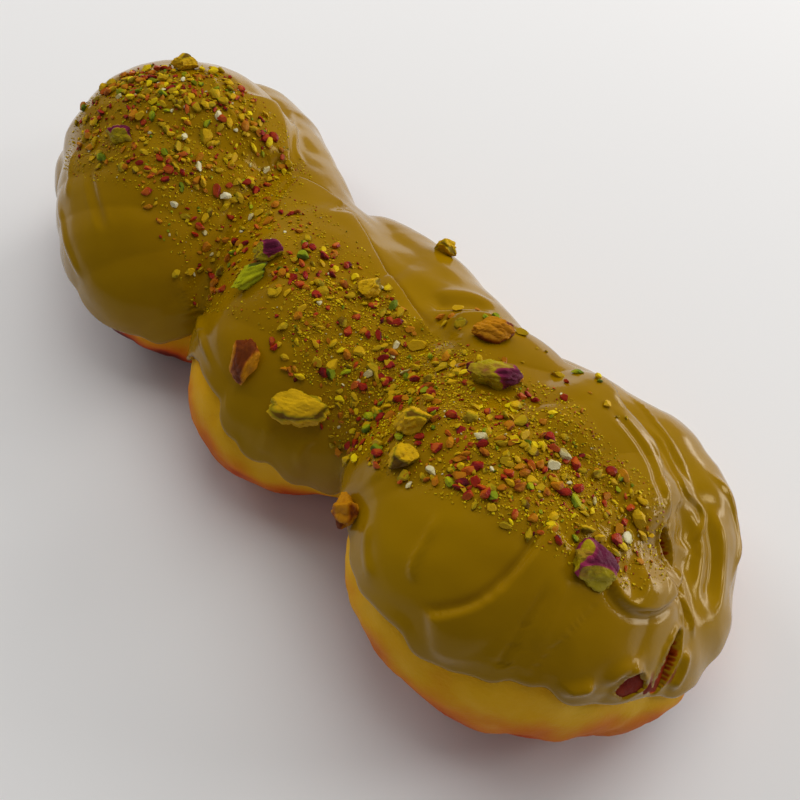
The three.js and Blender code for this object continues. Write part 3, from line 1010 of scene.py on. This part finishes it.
# ------------------------------------------------------------------ dough and cream


@dataclass
class Dough:
    """The fried dough, one body out to its browned crust.

    Attributes:
        twist: The form of the strands.
        straight: Columns along each side.
        fan: Columns round each end.
        top_rows: Rows under the cream.
        side_rows: Rows from the cream's rim to the underside.
        blend: Radius over which the strands have baked together.
        pale: How brown the pale band under the cream is.
        band: The band browns from this far below the rim to this share of the rim's height.
        least_rim: A rim lower than this counts as this high.
        band_browning: How much browner it is below the band.
        line: A darker line starts this far above the rim and is full this far below it.
        line_browning: How much browner the line is.
        crease: A crease is where the strands' distances differ by less than these.
        crease_darkening: How much darker the crust is made where the two strands meet.
        far_end: The far end browns between these, along the twist towards it.
        far_browning: How much browner it is.
    """

    twist: Twist
    straight: int = 170
    fan: int = 110
    top_rows: int = 36
    side_rows: int = 84
    blend: float = 2.5
    pale: float = 0.12
    band: tuple[float, float] = (1.5, 0.62)
    least_rim: float = 8.0
    band_browning: float = 0.62
    line: tuple[float, float] = (-1.2, 0.4)
    line_browning: float = 0.25
    crease: tuple[float, float] = (0.5, 6.0)
    crease_darkening: float = 0.4
    far_end: tuple[float, float] = (22.0, 42.0)
    far_browning: float = 0.7

    def build(self, mottling: bpy.types.NodeTree) -> bpy.types.Object:
        """Models the dough and dresses it.

        Args:
            mottling: The shared group of patches and grain.

        Returns:
            The piece.
        """
        spine = Spine(self.twist, self.straight, self.fan)
        top = np.linspace(0, 1, self.top_rows + 1)[:, None]
        side = np.linspace(0, 1, self.side_rows + 1)[1:, None]
        rise = np.vstack([
            math.pi / 2 + (spine.rim - math.pi / 2) * top,
            spine.rim + (-math.pi / 2 - spine.rim) * side,
        ])
        rows = spine.surface(rise, 0.0, self.blend)
        flat = rows.reshape(-1, 3)
        normal = self.twist.facing(flat, self.blend)
        lift = sum(ripple.lift(flat) for ripple in DOUGH_RIPPLES)
        for fold in FOLDS:
            if fold.swell:
                lift = lift + fold.swelling(flat, normal)
        flat = flat + normal * lift[:, None]
        flat[:, 2] = np.maximum(flat[:, 2], 0)
        piece = shell_from_rows("fried_dough", flat.reshape(rows.shape))
        mark(piece, "browning", self.browning(vertices_of(piece)))
        finish_piece(piece, CRUST.material(mottling), "dough", "dough_twist")
        return piece

    def browning(self, points: np.ndarray) -> np.ndarray:
        """How brown the crust is.

        Args:
            points: The dough's points.

        Returns:
            One number for each, from 0 on the pale band to 1 in the creases.
        """
        rim = rim_height(points)
        below = rim - points[:, 2]
        start, end = self.band
        band = eased(below, start, end * np.maximum(rim, self.least_rim))
        brown = self.pale + self.band_browning * band
        brown = np.where(below < 0, 1.0, brown)
        brown += self.line_browning * eased(-below, *self.line) * (below > 0)
        # Darker where the two strands meet.
        a = self.twist.strand_distance(0, points)
        b = self.twist.strand_distance(1, points)
        crease = 1 - eased(np.abs(a - b), *self.crease)
        brown += self.crease_darkening * crease + BLOTCHES.lift(points)
        brown += self.far_browning * eased(-points[:, 0], *self.far_end)
        return np.clip(brown, 0, 1)


CREAM_SHADE = 0.15        # where the cream stands among its colours
BARE_AND_SHADED_DEPTH = (1.4, 2.3)   # the cream's face is painted the dough's dark brown below these distances from the dough: bare dough, and painted shade in the openings' hollows
BARE_AND_SHADED_ABOVE_RIM = (1, 4)   # and above the rim by these heights


@dataclass
class Cream:
    """The pistachio cream, a skin over the dough with the folds that the knife left.

    Attributes:
        twist: The form of the strands.
        straight: Columns along each side.
        fan: Columns round each end.
        rows: Rows from the crest to the rim.
        lip_rows: Rows round the rim.
        inner_rows: Rows on the hidden side.
        blend: Radius over which the valley between the strands is filled.
        buried: How far the hidden side lies inside the dough.
        tucked: How far the rim's edge is tucked into the dough.
        overhang: How far the rounded rim reaches below the rim's elevation.
        thinning: Share of the thickness that is lost towards the rim.
        thins_from: Share of the way down to the rim where it starts to thin.
        floor: Least thickness that is left under an opening.
        calm_rows: Rows above the rim over which the folds fade.
    """

    twist: Twist
    straight: int = 196
    fan: int = 165
    rows: int = 112
    lip_rows: int = 6
    inner_rows: int = 8
    blend: float = 1.8
    buried: float = 1.6
    tucked: float = 0.4
    overhang: float = math.radians(2.6)
    thinning: float = 0.4
    thins_from: float = 0.8
    floor: float = 0.3
    calm_rows: int = 6

    def build(self, mottling: bpy.types.NodeTree) -> bpy.types.Object:
        """Models the cream and dresses it.

        Args:
            mottling: The shared group of patches and grain.

        Returns:
            The piece.
        """
        spine = Spine(self.twist, self.straight, self.fan)
        down = np.linspace(0, 1, self.rows + 1)[:, None]
        rise = math.pi / 2 + (spine.rim - math.pi / 2) * down
        left = 1 - self.thinning * eased(down, self.thins_from, 1)
        full = PIECE_GAP + CREAM_THICKNESS * left
        outer = self.folded(spine.surface(rise, full, self.blend))
        turn = np.linspace(0, math.pi / 2, self.lip_rows + 1)[1:, None]
        lip_rise = spine.rim - self.overhang * np.sin(turn)
        lip_offset = -self.tucked + (full[-1] + self.tucked) * np.cos(turn)
        lip = spine.surface(lip_rise, lip_offset, self.blend)
        back = np.linspace(1, 0, self.inner_rows + 1)[:, None]
        inner_rise = math.pi / 2 + (lip_rise[-1] - math.pi / 2) * back
        inner = spine.surface(inner_rise, -self.buried, self.blend)
        piece = shell_from_rows("pistachio_cream", np.concatenate([outer, lip, inner]))
        mark(piece, "bare_dough_and_hollow_shade", self.bare_dough_and_hollow_shade(vertices_of(piece)))
        finish_piece(piece, CREAM.material(mottling), "glaze", "glaze_coat")
        return piece

    def bare_dough_and_hollow_shade(self, points: np.ndarray) -> np.ndarray:
        """How much of the dough shows at points of the cream, with painted shade darkening the
        openings' hollows.

        Args:
            points: The points.

        Returns:
            One number for each, CREAM_SHADE on the cream and 1 in an opening, where the dark brown is
            partly painted shade.
        """
        depth = self.twist.distance(points, self.blend)
        bare_and_shaded = np.zeros(len(points))
        for fold in FOLDS:
            if fold.kind is FoldKind.OPENING:
                bare_and_shaded = np.maximum(bare_and_shaded, fold.nearness(points))
        above_rim = points[:, 2] - rim_height(points)
        # Walls and floor of an opening take the dough's dark brown: partly dough showing through,
        # partly painted shade in the hollow.
        bare_and_shaded *= (1 - eased(depth, *BARE_AND_SHADED_DEPTH)) * eased(above_rim, *BARE_AND_SHADED_ABOVE_RIM)
        return CREAM_SHADE + (1 - CREAM_SHADE) * bare_and_shaded

    def folded(self, rows: np.ndarray) -> np.ndarray:
        """The outer face with its folds, streaks, openings and gentle unevenness.

        Args:
            rows: The smooth face's points, row by column.

        Returns:
            The points, moved along the face's normals.
        """
        flat = rows.reshape(-1, 3)
        normal = self.twist.facing(flat, self.blend)
        lift = sum(ripple.lift(flat) for ripple in CREAM_RIPPLES)
        for fold in FOLDS:
            own = fold.relief(flat, normal)
            if fold.kind is FoldKind.OPENING:
                lift = lift * np.clip(1 + own / fold.height, 0, 1)
            lift = lift + own
        deepest = -(PIECE_GAP + CREAM_THICKNESS + self.buried)
        lift = np.maximum(lift, deepest + self.floor)
        fade = np.ones(rows.shape[:2])
        fade[-self.calm_rows:] = np.linspace(1, 0, self.calm_rows)[:, None]
        return (flat + normal * (lift * fade.ravel())[:, None]).reshape(rows.shape)


# ------------------------------------------------------------------ chopped pistachios

KNIFE_CUTS = 7            # flat cuts on a large piece
KNIFE_REACH = 0.55        # nearest that a cut comes to the middle of a unit ball
KNIFE_SPREAD = 0.25       # how much farther out a cut may lie
CUT_EDGE = (-0.02, 0.16)  # the skin starts between these distances from a cut
PIECE_SEED = 11


class Draws:
    """Seeded random numbers, the same each run."""

    def __init__(self, seed: int) -> None:
        """Starts the draws from a seed."""
        self.state = seed

    def __call__(self) -> float:
        """Draws the next number.

        Returns:
            The number, from 0 up to 1.
        """
        self.state = (self.state + DRAW_STEP) & WORD
        t = ((self.state ^ (self.state >> 15)) * (1 | self.state)) & WORD
        t = ((t + ((t ^ (t >> 7)) * (61 | t) & WORD)) & WORD) ^ t
        return ((t ^ (t >> 14)) & WORD) / (WORD + 1)

    def way(self) -> np.ndarray:
        """A random direction."""
        drawn = np.array([self() - 0.5, self() - 0.5, self() - 0.5])
        return drawn / np.linalg.norm(drawn)


@dataclass(frozen=True)
class LargePiece:
    """One large piece of pistachio, where it lies and how it was cut.

    Attributes:
        name: Its name, as in the solids.
        x: Its place along the twist.
        y: Its place across the twist.
        size: Its length, width and height.
        heading: Which way its length points, in degrees.
        sunk: The share of its height that is in the cream.
        kind: Its colours.
        slot: The slot for it.
    """

    name: str
    x: float
    y: float
    size: tuple[float, float, float]
    heading: float
    sunk: float
    kind: NutKind
    slot: str


LARGE_PIECES = (
    LargePiece("half_kernel", 15, -27, (11.5, 7, 5), 40, 0.15, NutKind.YELLOW_GREEN, "nut_green"),
    LargePiece("purple_skin", 37.5, -3, (9.5, 6.5, 5), 52, 0.2, NutKind.PURPLE, "nut_purple"),
    LargePiece("tan_chunk", 2, -29.5, (8.5, 6.5, 4.5), 128, 0.3, NutKind.TAN, "nut_brown"),
    LargePiece("purple_flake", -13.5, -12, (7.5, 5, 4), 52, 0.2, NutKind.PURPLE, "nut_purple"),
    LargePiece("green_sliver", -11, -18.5, (9, 4.5, 4), 88, 0.2, NutKind.GREEN, "nut_green"),
    LargePiece("brown_chunk", 29.5, 5.5, (8, 5, 4.5), 44, 0.2, NutKind.TAN, "nut_brown"),
    LargePiece("green_chunk", 35.5, -19.5, (6.5, 6, 4.5), 20, 0.2, NutKind.YELLOW_GREEN, "nut_green"),
    LargePiece("green_flake", 39, -25, (6.5, 4.5, 3.5), 35, 0.2, NutKind.YELLOW_GREEN, "nut_green"),
    LargePiece("near_chunk", 71, -16.5, (9, 7, 5), 14, 0.3, NutKind.PURPLE, "nut_purple"),
    LargePiece("crease_chunk", 37, -33.5, (6.5, 5.5, 4.5), 120, 0.15, NutKind.TAN, "nut_green"),
    LargePiece("middle_chunk", 5, -2.5, (5.5, 4.5, 4), 80, 0.2, NutKind.YELLOW_GREEN, "nut_green"),
    LargePiece("far_pale", -65, 4, (6, 5, 4), 60, 0.2, NutKind.YELLOW_GREEN, "nut_green"),
    LargePiece("far_dark", -58, -17.5, (6, 4.5, 4), 25, 0.3, NutKind.PURPLE, "nut_purple"),
    LargePiece("right_chunk", 0, 24.5, (5.5, 4.5, 4), 10, 0.2, NutKind.YELLOW_GREEN, "nut_green"),
)


def knife_cuts(draws: Draws) -> list[tuple[np.ndarray, float]]:
    """The flat cuts on one piece, each as the way that it faces and its reach."""
    return [(draws.way(), KNIFE_REACH + KNIFE_SPREAD * draws()) for _ in range(KNIFE_CUTS)]


def cut_flat(
    points: np.ndarray, cuts: list[tuple[np.ndarray, float]]
) -> tuple[np.ndarray, np.ndarray]:
    """Presses the parts of a round form that reach past a cut back onto it.

    Args:
        points: The form's points, about one unit from the middle.
        cuts: The cuts.

    Returns:
        The points, and for each one how far it is from any cut, from 0 on it to 1.
    """
    skin = np.ones(len(points))
    for way, reach in cuts:
        past = points @ way - reach
        skin = np.minimum(skin, eased(-past, *CUT_EDGE))
        points = points - np.maximum(past, 0)[:, None] * way
    return points, skin


@dataclass
class ChoppedPistachios:
    """The large pieces, each a solid of its own with its cut faces and its skin.

    Attributes:
        coat: The cream that they lie on.
        detail: How finely a piece is divided.
        bulge: How uneven a kernel is before it is cut.
        bulge_size: How far apart its bulges are, on a ball of unit radius.
        bulge_seed: The choice of bulges.
        crumble: How far the broken lumps stand up, and the creases between them go down.
        crumble_size: How large the largest lumps are, on a ball of unit radius.
        crumble_seed: The choice of lumps.
        sharp_edge: Faces that meet at more than this, in degrees, keep a sharp edge.
        feeler: A piece's tilt is felt this far to each side of its place.
        fall_from: A place on the cream is looked for down from here, in metres.
        upright: Weight of straight up where the cream's tilt is found.
    """

    coat: bpy.types.Object
    detail: int = 5
    bulge: float = 0.1
    bulge_size: float = 1.5
    bulge_seed: int = 30
    crumble: tuple[float, float] = (0.16, -0.07)
    crumble_size: float = 1.1
    crumble_seed: int = 60
    sharp_edge: float = 28.0
    feeler: float = 1.5
    fall_from: float = 0.08
    upright: float = 0.01

    def __post_init__(self) -> None:
        """Readies the cream for finding places on it."""
        self.tree = BVHTree.FromObject(self.coat, bpy.context.evaluated_depsgraph_get())

    def spot(self, x: float, y: float) -> tuple[Vector, Vector] | None:
        """Finds a place on the cream, looking down from above.

        Args:
            x: The place along the twist.
            y: The place across the twist.

        Returns:
            Where it lies and which way the cream faces there, or nothing off the cream.
        """
        above = Vector((x * MM, y * MM, self.fall_from))
        hit, normal, _, _ = self.tree.ray_cast(above, Vector((0, 0, -1)))
        return None if hit is None else (hit, normal)

    def lie(
        self, x: float, y: float, size: tuple[float, float, float], heading: float, sunk: float
    ) -> np.ndarray:
        """The place of a piece on the cream: headed, tilted with the surface and sunk in.

        Args:
            x: Its place along the twist.
            y: Its place across the twist.
            size: Its length, width and height.
            heading: Which way its length points, in degrees.
            sunk: The share of its height that is in the cream.

        Returns:
            The matrix that takes a form of unit radius there, in metres.
        """
        hit, _ = self.spot(x, y)
        steps = ((self.feeler, 0), (-self.feeler, 0), (0, self.feeler), (0, -self.feeler))
        around = [self.spot(x + dx, y + dy) for dx, dy in steps]
        normal = sum((s[1] for s in around if s), Vector((0, 0, self.upright))).normalized()
        turn = Vector((0, 0, 1)).rotation_difference(normal)
        turn = turn @ Quaternion((0, 0, 1), math.radians(heading))
        middle = hit + normal * (size[2] * (0.5 - sunk) * MM)
        half = Matrix.Diagonal((size[0] * MM / 2, size[1] * MM / 2, size[2] * MM / 2, 1))
        return np.array(Matrix.Translation(middle) @ turn.to_matrix().to_4x4() @ half)

    def build(self, finishes: dict[NutKind, bpy.types.Material]) -> list[bpy.types.Object]:
        """Models each large piece in place of its solid.

        Args:
            finishes: The material of each kind of nut.

        Returns:
            The pieces.
        """
        made = []
        for index, wanted in enumerate(LARGE_PIECES):
            only(None)
            bpy.ops.mesh.primitive_ico_sphere_add(subdivisions=self.detail, radius=1)
            piece = bpy.context.object
            piece.name = f"chopped_{wanted.name}"
            flat = np.empty(len(piece.data.vertices) * 3)
            piece.data.vertices.foreach_get("co", flat)
            ball = flat.reshape(-1, 3)
            bulge = self.bulge * ripples(ball, self.bulge_size, self.bulge_seed + index)
            ball = ball * (1 - self.bulge + bulge)[:, None]
            form, skin = cut_flat(ball, knife_cuts(Draws(PIECE_SEED + index)))
            way = form / np.linalg.norm(form, axis=1)[:, None]
            stands, sinks = self.crumble
            rough = stands * crags(form, self.crumble_size, self.crumble_seed + index) + sinks
            form = form + way * rough[:, None]
            place = self.lie(wanted.x, wanted.y, wanted.size, wanted.heading, wanted.sunk)
            laid = form @ place[:3, :3].T + place[:3, 3]
            piece.data.vertices.foreach_set("co", laid.ravel())
            piece.data.update()
            mark(piece, "skin", skin)
            only(piece)
            bpy.ops.object.shade_smooth_by_angle(angle=math.radians(self.sharp_edge))
            finish_piece(piece, finishes[wanted.kind], wanted.slot, f"pistachio_{wanted.name}")
            made.append(piece)
        return made


@dataclass(frozen=True)
class Patch:
    """A patch in which small bits lie.

    Attributes:
        x: Its middle along the twist.
        y: Its middle across the twist.
        length: Its length.
        width: Its width.
        heading: Which way its length points, in degrees.
        count: How many bits are tried in it.
    """

    x: float
    y: float
    length: float
    width: float
    heading: float
    count: int


@dataclass(frozen=True)
class Scatter:
    """One layer of small bits, scattered by seeded draws.

    Attributes:
        patches: Where they lie.
        lengths: The shortest and the longest, in millimetres.
        leaning: The higher it is, the more of them are short.
        width: The least width for each unit of length, and what a draw may add.
        height: The least height, and what a draw may add.
        seed: The choice of draws.
        detail: How finely a bit is divided.
        sunk: The share of a bit's height that is in the cream.
        meal_share: The share of the bits that is meal.
    """

    patches: tuple[Patch, ...]
    lengths: tuple[float, float]
    leaning: float
    width: tuple[float, float]
    height: tuple[float, float]
    seed: int
    detail: int
    sunk: float
    meal_share: float

    def draw(self, patch: Patch, draws: Draws) -> Bit:
        """Draws one bit in a patch.

        Args:
            patch: The patch.
            draws: Where the draws come from.

        Returns:
            Its place along the twist and across it, its size and its heading.
        """
        turn = 2 * math.pi * draws()
        reach = math.sqrt(draws())
        along = patch.length * 0.5 * reach * math.cos(turn)
        across = patch.width * 0.5 * reach * math.sin(turn)
        heading = math.radians(patch.heading)
        x = patch.x + along * math.cos(heading) - across * math.sin(heading)
        y = patch.y + along * math.sin(heading) + across * math.cos(heading)
        shortest, longest = self.lengths
        length = shortest + (longest - shortest) * draws() ** self.leaning
        width = length * (self.width[0] + self.width[1] * draws())
        height = length * (self.height[0] + self.height[1] * draws())
        return x, y, (length, width, height), 360 * draws()


Bit = tuple[float, float, tuple[float, float, float], float]
Form = tuple[np.ndarray, np.ndarray, np.ndarray]

# The bits that the solids have too, and then finer crumbs and dust.
BITS = Scatter(
    patches=(
        Patch(-51, -7.5, 48, 24, 40, 36),
        Patch(-23, -11.5, 44, 18, 10, 22),
        Patch(15, -11.5, 34, 20, -20, 24),
        Patch(39, -13.5, 34, 22, 10, 26),
        Patch(61, -12.5, 30, 16, 30, 24),
        Patch(37, 7.5, 34, 12, 0, 12),
    ),
    lengths=(2.4, 4.8), leaning=2, width=(0.5, 0.3), height=(0.4, 0.25),
    seed=7, detail=2, sunk=0.35, meal_share=0.0,
)
CRUMBS = Scatter(
    patches=(
        Patch(-54, -6, 50, 30, 40, 480),
        Patch(-62, 0, 30, 20, 40, 220),
        Patch(-24, -12, 50, 26, 10, 300),
        Patch(10, -13, 44, 26, -20, 320),
        Patch(38, -14, 44, 30, 10, 420),
        Patch(60, -12, 36, 20, 30, 200),
        Patch(36, 7, 44, 22, 0, 40),
    ),
    lengths=(0.8, 3.3), leaning=2.2, width=(0.45, 0.4), height=(0.35, 0.3),
    seed=21, detail=2, sunk=0.2, meal_share=0.1,
)
DUST = Scatter(
    patches=(
        Patch(-52, -6, 56, 34, 40, 2600),
        Patch(-15, -10, 66, 32, 0, 1800),
        Patch(20, -12, 44, 26, 0, 3500),
        Patch(42, -12, 50, 32, 10, 3100),
        Patch(60, -10, 40, 26, 20, 1600),
    ),
    lengths=(0.28, 0.8), leaning=2.2, width=(0.45, 0.4), height=(0.35, 0.3),
    seed=22, detail=1, sunk=0.1, meal_share=0.75,
)


class CrumbKind(Enum):
    """The kinds of small bits: their finish, their share of the scatter and their slot."""

    YELLOW = (NutKind.YELLOW_GREEN, 0.37, "nut_green")
    LEAF = (NutKind.GREEN, 0.1, "nut_green")
    RED = (NutKind.RED, 0.27, "nut_purple")
    ROAST = (NutKind.TAN, 0.22, "nut_brown")
    CHALK = (NutKind.PALE, 0.04, "nut_green")
    MEAL = (NutKind.MEAL, 0.0, "nut_green")


@dataclass
class Crumbs:
    """The small bits, crumbs and dust, joined into one piece for each kind.

    Attributes:
        lying: What finds a place on the cream.
        bit_gap: Least gap between the bits that the solids have.
        piece_gap: Least distance to a large piece for each unit of both lengths.
        forms: How many forms the small bits are copies of, at each detail.
        form_seed: The choice of forms.
        form_loss: Share of a ball's radius that a point may lack.
        form_cuts: Flat cuts on each form.
        form_reach: Nearest that a cut comes to the middle, and what a draw adds.
        kind_seed: The choice of kinds and shades.
        skin_share: Share of a small bit's shade that follows its own cuts.
    """

    lying: ChoppedPistachios
    bit_gap: float = 0.6
    piece_gap: float = 0.33
    forms: int = 12
    form_seed: int = 200
    form_loss: float = 0.35
    form_cuts: int = 5
    form_reach: tuple[float, float] = (0.3, 0.45)
    kind_seed: int = 23
    skin_share: float = 0.5

    def __post_init__(self) -> None:
        """Cuts the forms that the bits are copies of."""
        details = sorted({layer.detail for layer in (BITS, CRUMBS, DUST)})
        self.patterns = {detail: self.pattern_bits(detail) for detail in details}

    def pattern_bits(self, detail: int) -> list[Form]:
        """A few chopped forms that the bits are copies of.

        Args:
            detail: How finely the round form is divided before it is cut.

        Returns:
            The points, the faces and the skin of each form.
        """
        made = []
        for seed in range(self.forms):
            only(None)
            bpy.ops.mesh.primitive_ico_sphere_add(subdivisions=detail, radius=1)
            ball = bpy.context.object
            points = np.array([v.co for v in ball.data.vertices])
            faces = np.array([f.vertices for f in ball.data.polygons])
            bpy.data.objects.remove(ball)
            draws = Draws(self.form_seed + seed)
            points *= np.array([1 - self.form_loss * draws() for _ in points])[:, None]
            nearest, spread = self.form_reach
            cuts = [(draws.way(), nearest + spread * draws()) for _ in range(self.form_cuts)]
            points, skin = cut_flat(points, cuts)
            made.append((points, faces, skin))
        return made

    def solid_bits(self) -> list[Bit]:
        """The bits that the solids have, by the same draws.

        Returns:
            The bits, clear of each other and of the large pieces.
        """
        draws = Draws(BITS.seed)
        taken = [(p.x, p.y, p.size[0]) for p in LARGE_PIECES]
        bits = []
        for patch in BITS.patches:
            for _ in range(patch.count):
                bit = BITS.draw(patch, draws)
                x, y, (length, _, _), _ = bit
                clear = all(
                    math.hypot(x - ox, y - oy) > (length + other) / 2 + self.bit_gap
                    for ox, oy, other in taken
                )
                if clear:
                    taken.append((x, y, length))
                    bits.append(bit)
        return bits

    def finer_bits(self, layer: Scatter) -> list[Bit]:
        """Crumbs or dust, clear of the large pieces.

        Args:
            layer: The layer.

        Returns:
            The bits that fall on the cream.
        """
        draws = Draws(layer.seed)
        bits = []
        for patch in layer.patches:
            for _ in range(patch.count):
                bit = layer.draw(patch, draws)
                x, y, (length, _, _), _ = bit
                clear = all(
                    math.hypot(x - p.x, y - p.y) > self.piece_gap * (p.size[0] + length)
                    for p in LARGE_PIECES
                )
                if clear and self.lying.spot(x, y):
                    bits.append(bit)
        return bits

    def build(self, finishes: dict[NutKind, bpy.types.Material]) -> list[bpy.types.Object]:
        """Makes the piece of each kind.

        Args:
            finishes: The material of each kind of nut.

        Returns:
            The pieces.
        """
        layers = (
            (BITS, self.solid_bits()),
            (CRUMBS, self.finer_bits(CRUMBS)),
            (DUST, self.finer_bits(DUST)),
        )
        choose = Draws(self.kind_seed)
        parts: dict[CrumbKind, list[Form]] = {kind: [] for kind in CrumbKind}
        for layer, bits in layers:
            for bit in bits:
                meal = choose() < layer.meal_share
                kind = CrumbKind.MEAL if meal else self.kind_for(choose())
                points, faces, skin = self.patterns[layer.detail][int(self.forms * choose())]
                place = self.lying.lie(*bit, layer.sunk)
                laid = points @ place[:3, :3].T + place[:3, 3]
                shade = self.skin_share * skin + (1 - self.skin_share) * choose()
                parts[kind].append((laid, faces, np.clip(shade, 0, 1)))
        return [self.join(kind, bits, finishes[kind.value[0]]) for kind, bits in parts.items()]

    def kind_for(self, drawn: float) -> CrumbKind:
        """Which kind a draw stands for.

        Args:
            drawn: The draw, from 0 to 1.

        Returns:
            The kind.
        """
        for kind in CrumbKind:
            drawn -= kind.value[1]
            if drawn < 0:
                return kind
        return CrumbKind.YELLOW

    def join(
        self, kind: CrumbKind, pieces: list[Form], material: bpy.types.Material
    ) -> bpy.types.Object:
        """Joins the bits of one kind into one piece.

        Args:
            kind: The kind.
            pieces: The points, faces and skin of each bit.
            material: The finish.

        Returns:
            The piece.
        """
        starts = np.cumsum([0] + [len(p) for p, _, _ in pieces[:-1]])
        points = np.concatenate([p for p, _, _ in pieces])
        faces = np.concatenate([f + s for (_, f, _), s in zip(pieces, starts)])
        mesh = bpy.data.meshes.new(f"crumbs_{kind.name.lower()}")
        mesh.from_pydata(points.tolist(), [], faces.tolist())
        piece = bpy.data.objects.new(mesh.name, mesh)
        bpy.context.collection.objects.link(piece)
        mark(piece, "skin", np.concatenate([s for _, _, s in pieces]))
        finish_piece(piece, material, kind.value[2])
        return piece


# ------------------------------------------------------------------ the studio


@dataclass(frozen=True)
class SoftLight:
    """One soft light, turned to the twist.

    Attributes:
        name: Its name.
        place: Where it hangs, in metres.
        size: Its width and height, in metres.
        power: Its power, in watts.
        mirrored: Whether it shows in glossy surfaces.
        tint: Its colour.
        aim: What it is turned to, in metres.
    """

    name: str
    place: tuple[float, float, float]
    size: tuple[float, float]
    power: float
    mirrored: bool = False
    tint: tuple[float, float, float] = (1.0, 0.98, 0.96)
    aim: tuple[float, float, float] = (0.0, 0.0, 0.02)

    def hang(self) -> None:
        """Hangs the light."""
        lamp = bpy.data.lights.new(self.name, "AREA")
        lamp.shape = "RECTANGLE"
        lamp.size, lamp.size_y = self.size
        lamp.energy = self.power
        lamp.color = self.tint
        hung = bpy.data.objects.new(self.name, lamp)
        hung.location = self.place
        hung.visible_glossy = self.mirrored
        towards = Vector(self.aim) - Vector(self.place)
        hung.rotation_euler = towards.to_track_quat("-Z", "Y").to_euler()
        bpy.context.collection.objects.link(hung)


# A long low window to the right, a small one at the near end, and soft light all round.
LIGHTS = (
    SoftLight("low_window", (0.42, 0.9, 0.07), (0.7, 0.14), 1.6, mirrored=True),
    SoftLight("near_window", (0.62, 0.68, 0.5), (0.2, 0.2), 1.2, mirrored=True),
    SoftLight("key", (0.0, 0.8, 0.4), (0.5, 0.5), 2.8),
    SoftLight("overhead", (-0.15, 0.35, 1.0), (1.0, 1.0), 5.2),
    SoftLight("far_fill", (-0.85, 0.0, 0.45), (0.5, 0.5), 3.0),
)


@dataclass
class Studio:
    """The floor, the light and the camera.

    Attributes:
        azimuth: Where the camera stands round the twist, in degrees.
        elevation: How high it stands, in degrees.
        distance: How far it is from what it looks at, in millimetres.
        roll: How far it leans, in degrees.
        focal_px: Its focal length, in pixels of the photograph.
        centre_px: Where the optical axis meets the photograph.
        target: What it looks at, in millimetres.
        image_px: Width and height of the photograph.
        floor_size: Width of the floor, in metres.
        floor_shade: How pale it is.
        floor_roughness: How matt it is.
        room_light: How bright the room is all round.
    """

    azimuth: float = 44.08
    elevation: float = 52.30
    distance: float = 186.58
    roll: float = -5.60
    focal_px: float = 880.98
    centre_px: tuple[float, float] = (375.3, 373.66)
    target: tuple[float, float, float] = (9.44, -2.71, 16.5)
    image_px: int = 800
    floor_size: float = 6.0
    floor_shade: float = 0.86
    floor_roughness: float = 0.7
    room_light: float = 0.19

    def build(self) -> None:
        """Sets up everything round the twist."""
        self.lay_floor()
        for light in LIGHTS:
            light.hang()
        self.light_room()
        self.stand_camera()

    def lay_floor(self) -> None:
        """A wide pale floor under the twist."""
        only(None)
        bpy.ops.mesh.primitive_plane_add(size=self.floor_size)
        floor = bpy.context.object
        floor.name = "pale_floor"
        paint = bpy.data.materials.new("pale_floor")
        paint.use_nodes = True
        shader = paint.node_tree.nodes["Principled BSDF"]
        shader.inputs["Base Color"].default_value = (*[self.floor_shade] * 3, 1)
        shader.inputs["Roughness"].default_value = self.floor_roughness
        floor.data.materials.append(paint)

    def light_room(self) -> None:
        """A dim white room, shown as it is."""
        world = bpy.data.worlds.new("room")
        world.use_nodes = True
        sky = world.node_tree.nodes["Background"]
        sky.inputs["Color"].default_value = (1, 1, 1, 1)
        sky.inputs["Strength"].default_value = self.room_light
        bpy.context.scene.world = world
        bpy.context.scene.view_settings.view_transform = "Standard"

    def stand_camera(self) -> None:
        """A camera at the photograph's angle, framed as the photograph is."""
        a = math.radians(self.azimuth)
        e = math.radians(self.elevation)
        lean = math.radians(self.roll)
        back = Vector((math.sin(a) * math.cos(e), -math.cos(a) * math.cos(e), math.sin(e)))
        right = Vector((math.cos(a), math.sin(a), 0))
        up = back.cross(right)
        leant_right = math.cos(lean) * right - math.sin(lean) * up
        leant_up = math.sin(lean) * right + math.cos(lean) * up
        lens = bpy.data.cameras.new("camera")
        lens.sensor_width = 36
        lens.lens = self.focal_px / self.image_px * lens.sensor_width
        lens.shift_x = (self.image_px / 2 - self.centre_px[0]) / self.image_px
        lens.shift_y = (self.centre_px[1] - self.image_px / 2) / self.image_px
        lens.clip_start = 0.01
        camera = bpy.data.objects.new("camera", lens)
        turned = Matrix((leant_right, leant_up, back)).transposed().to_4x4()
        turned.translation = Vector(self.target) * MM + back * (self.distance * MM)
        camera.matrix_world = turned
        bpy.context.collection.objects.link(camera)
        bpy.context.scene.camera = camera


def settle(pieces: list[bpy.types.Object]) -> None:
    """Moves the finished pieces until the middle of the twist's footprint is over the origin.

    Args:
        pieces: The pieces.
    """
    move = Matrix.Translation((-FOOTPRINT_MIDDLE[0] * MM, -FOOTPRINT_MIDDLE[1] * MM, 0))
    for piece in pieces:
        piece.data.transform(move)


def main() -> None:
    """Builds the twist's visual pieces and the studio round them."""
    logging.basicConfig(level=logging.INFO, format="%(name)s: %(message)s")
    mottling = mottle_group()
    twist = Twist()
    dough = Dough(twist).build(mottling)
    coat = Cream(twist).build(mottling)
    finishes = {kind: kind.value.material(mottling) for kind in NutKind}
    lying = ChoppedPistachios(coat)
    settle([dough, coat, *lying.build(finishes), *Crumbs(lying).build(finishes)])
    Studio().build()


if __name__ == "__main__":
    main()
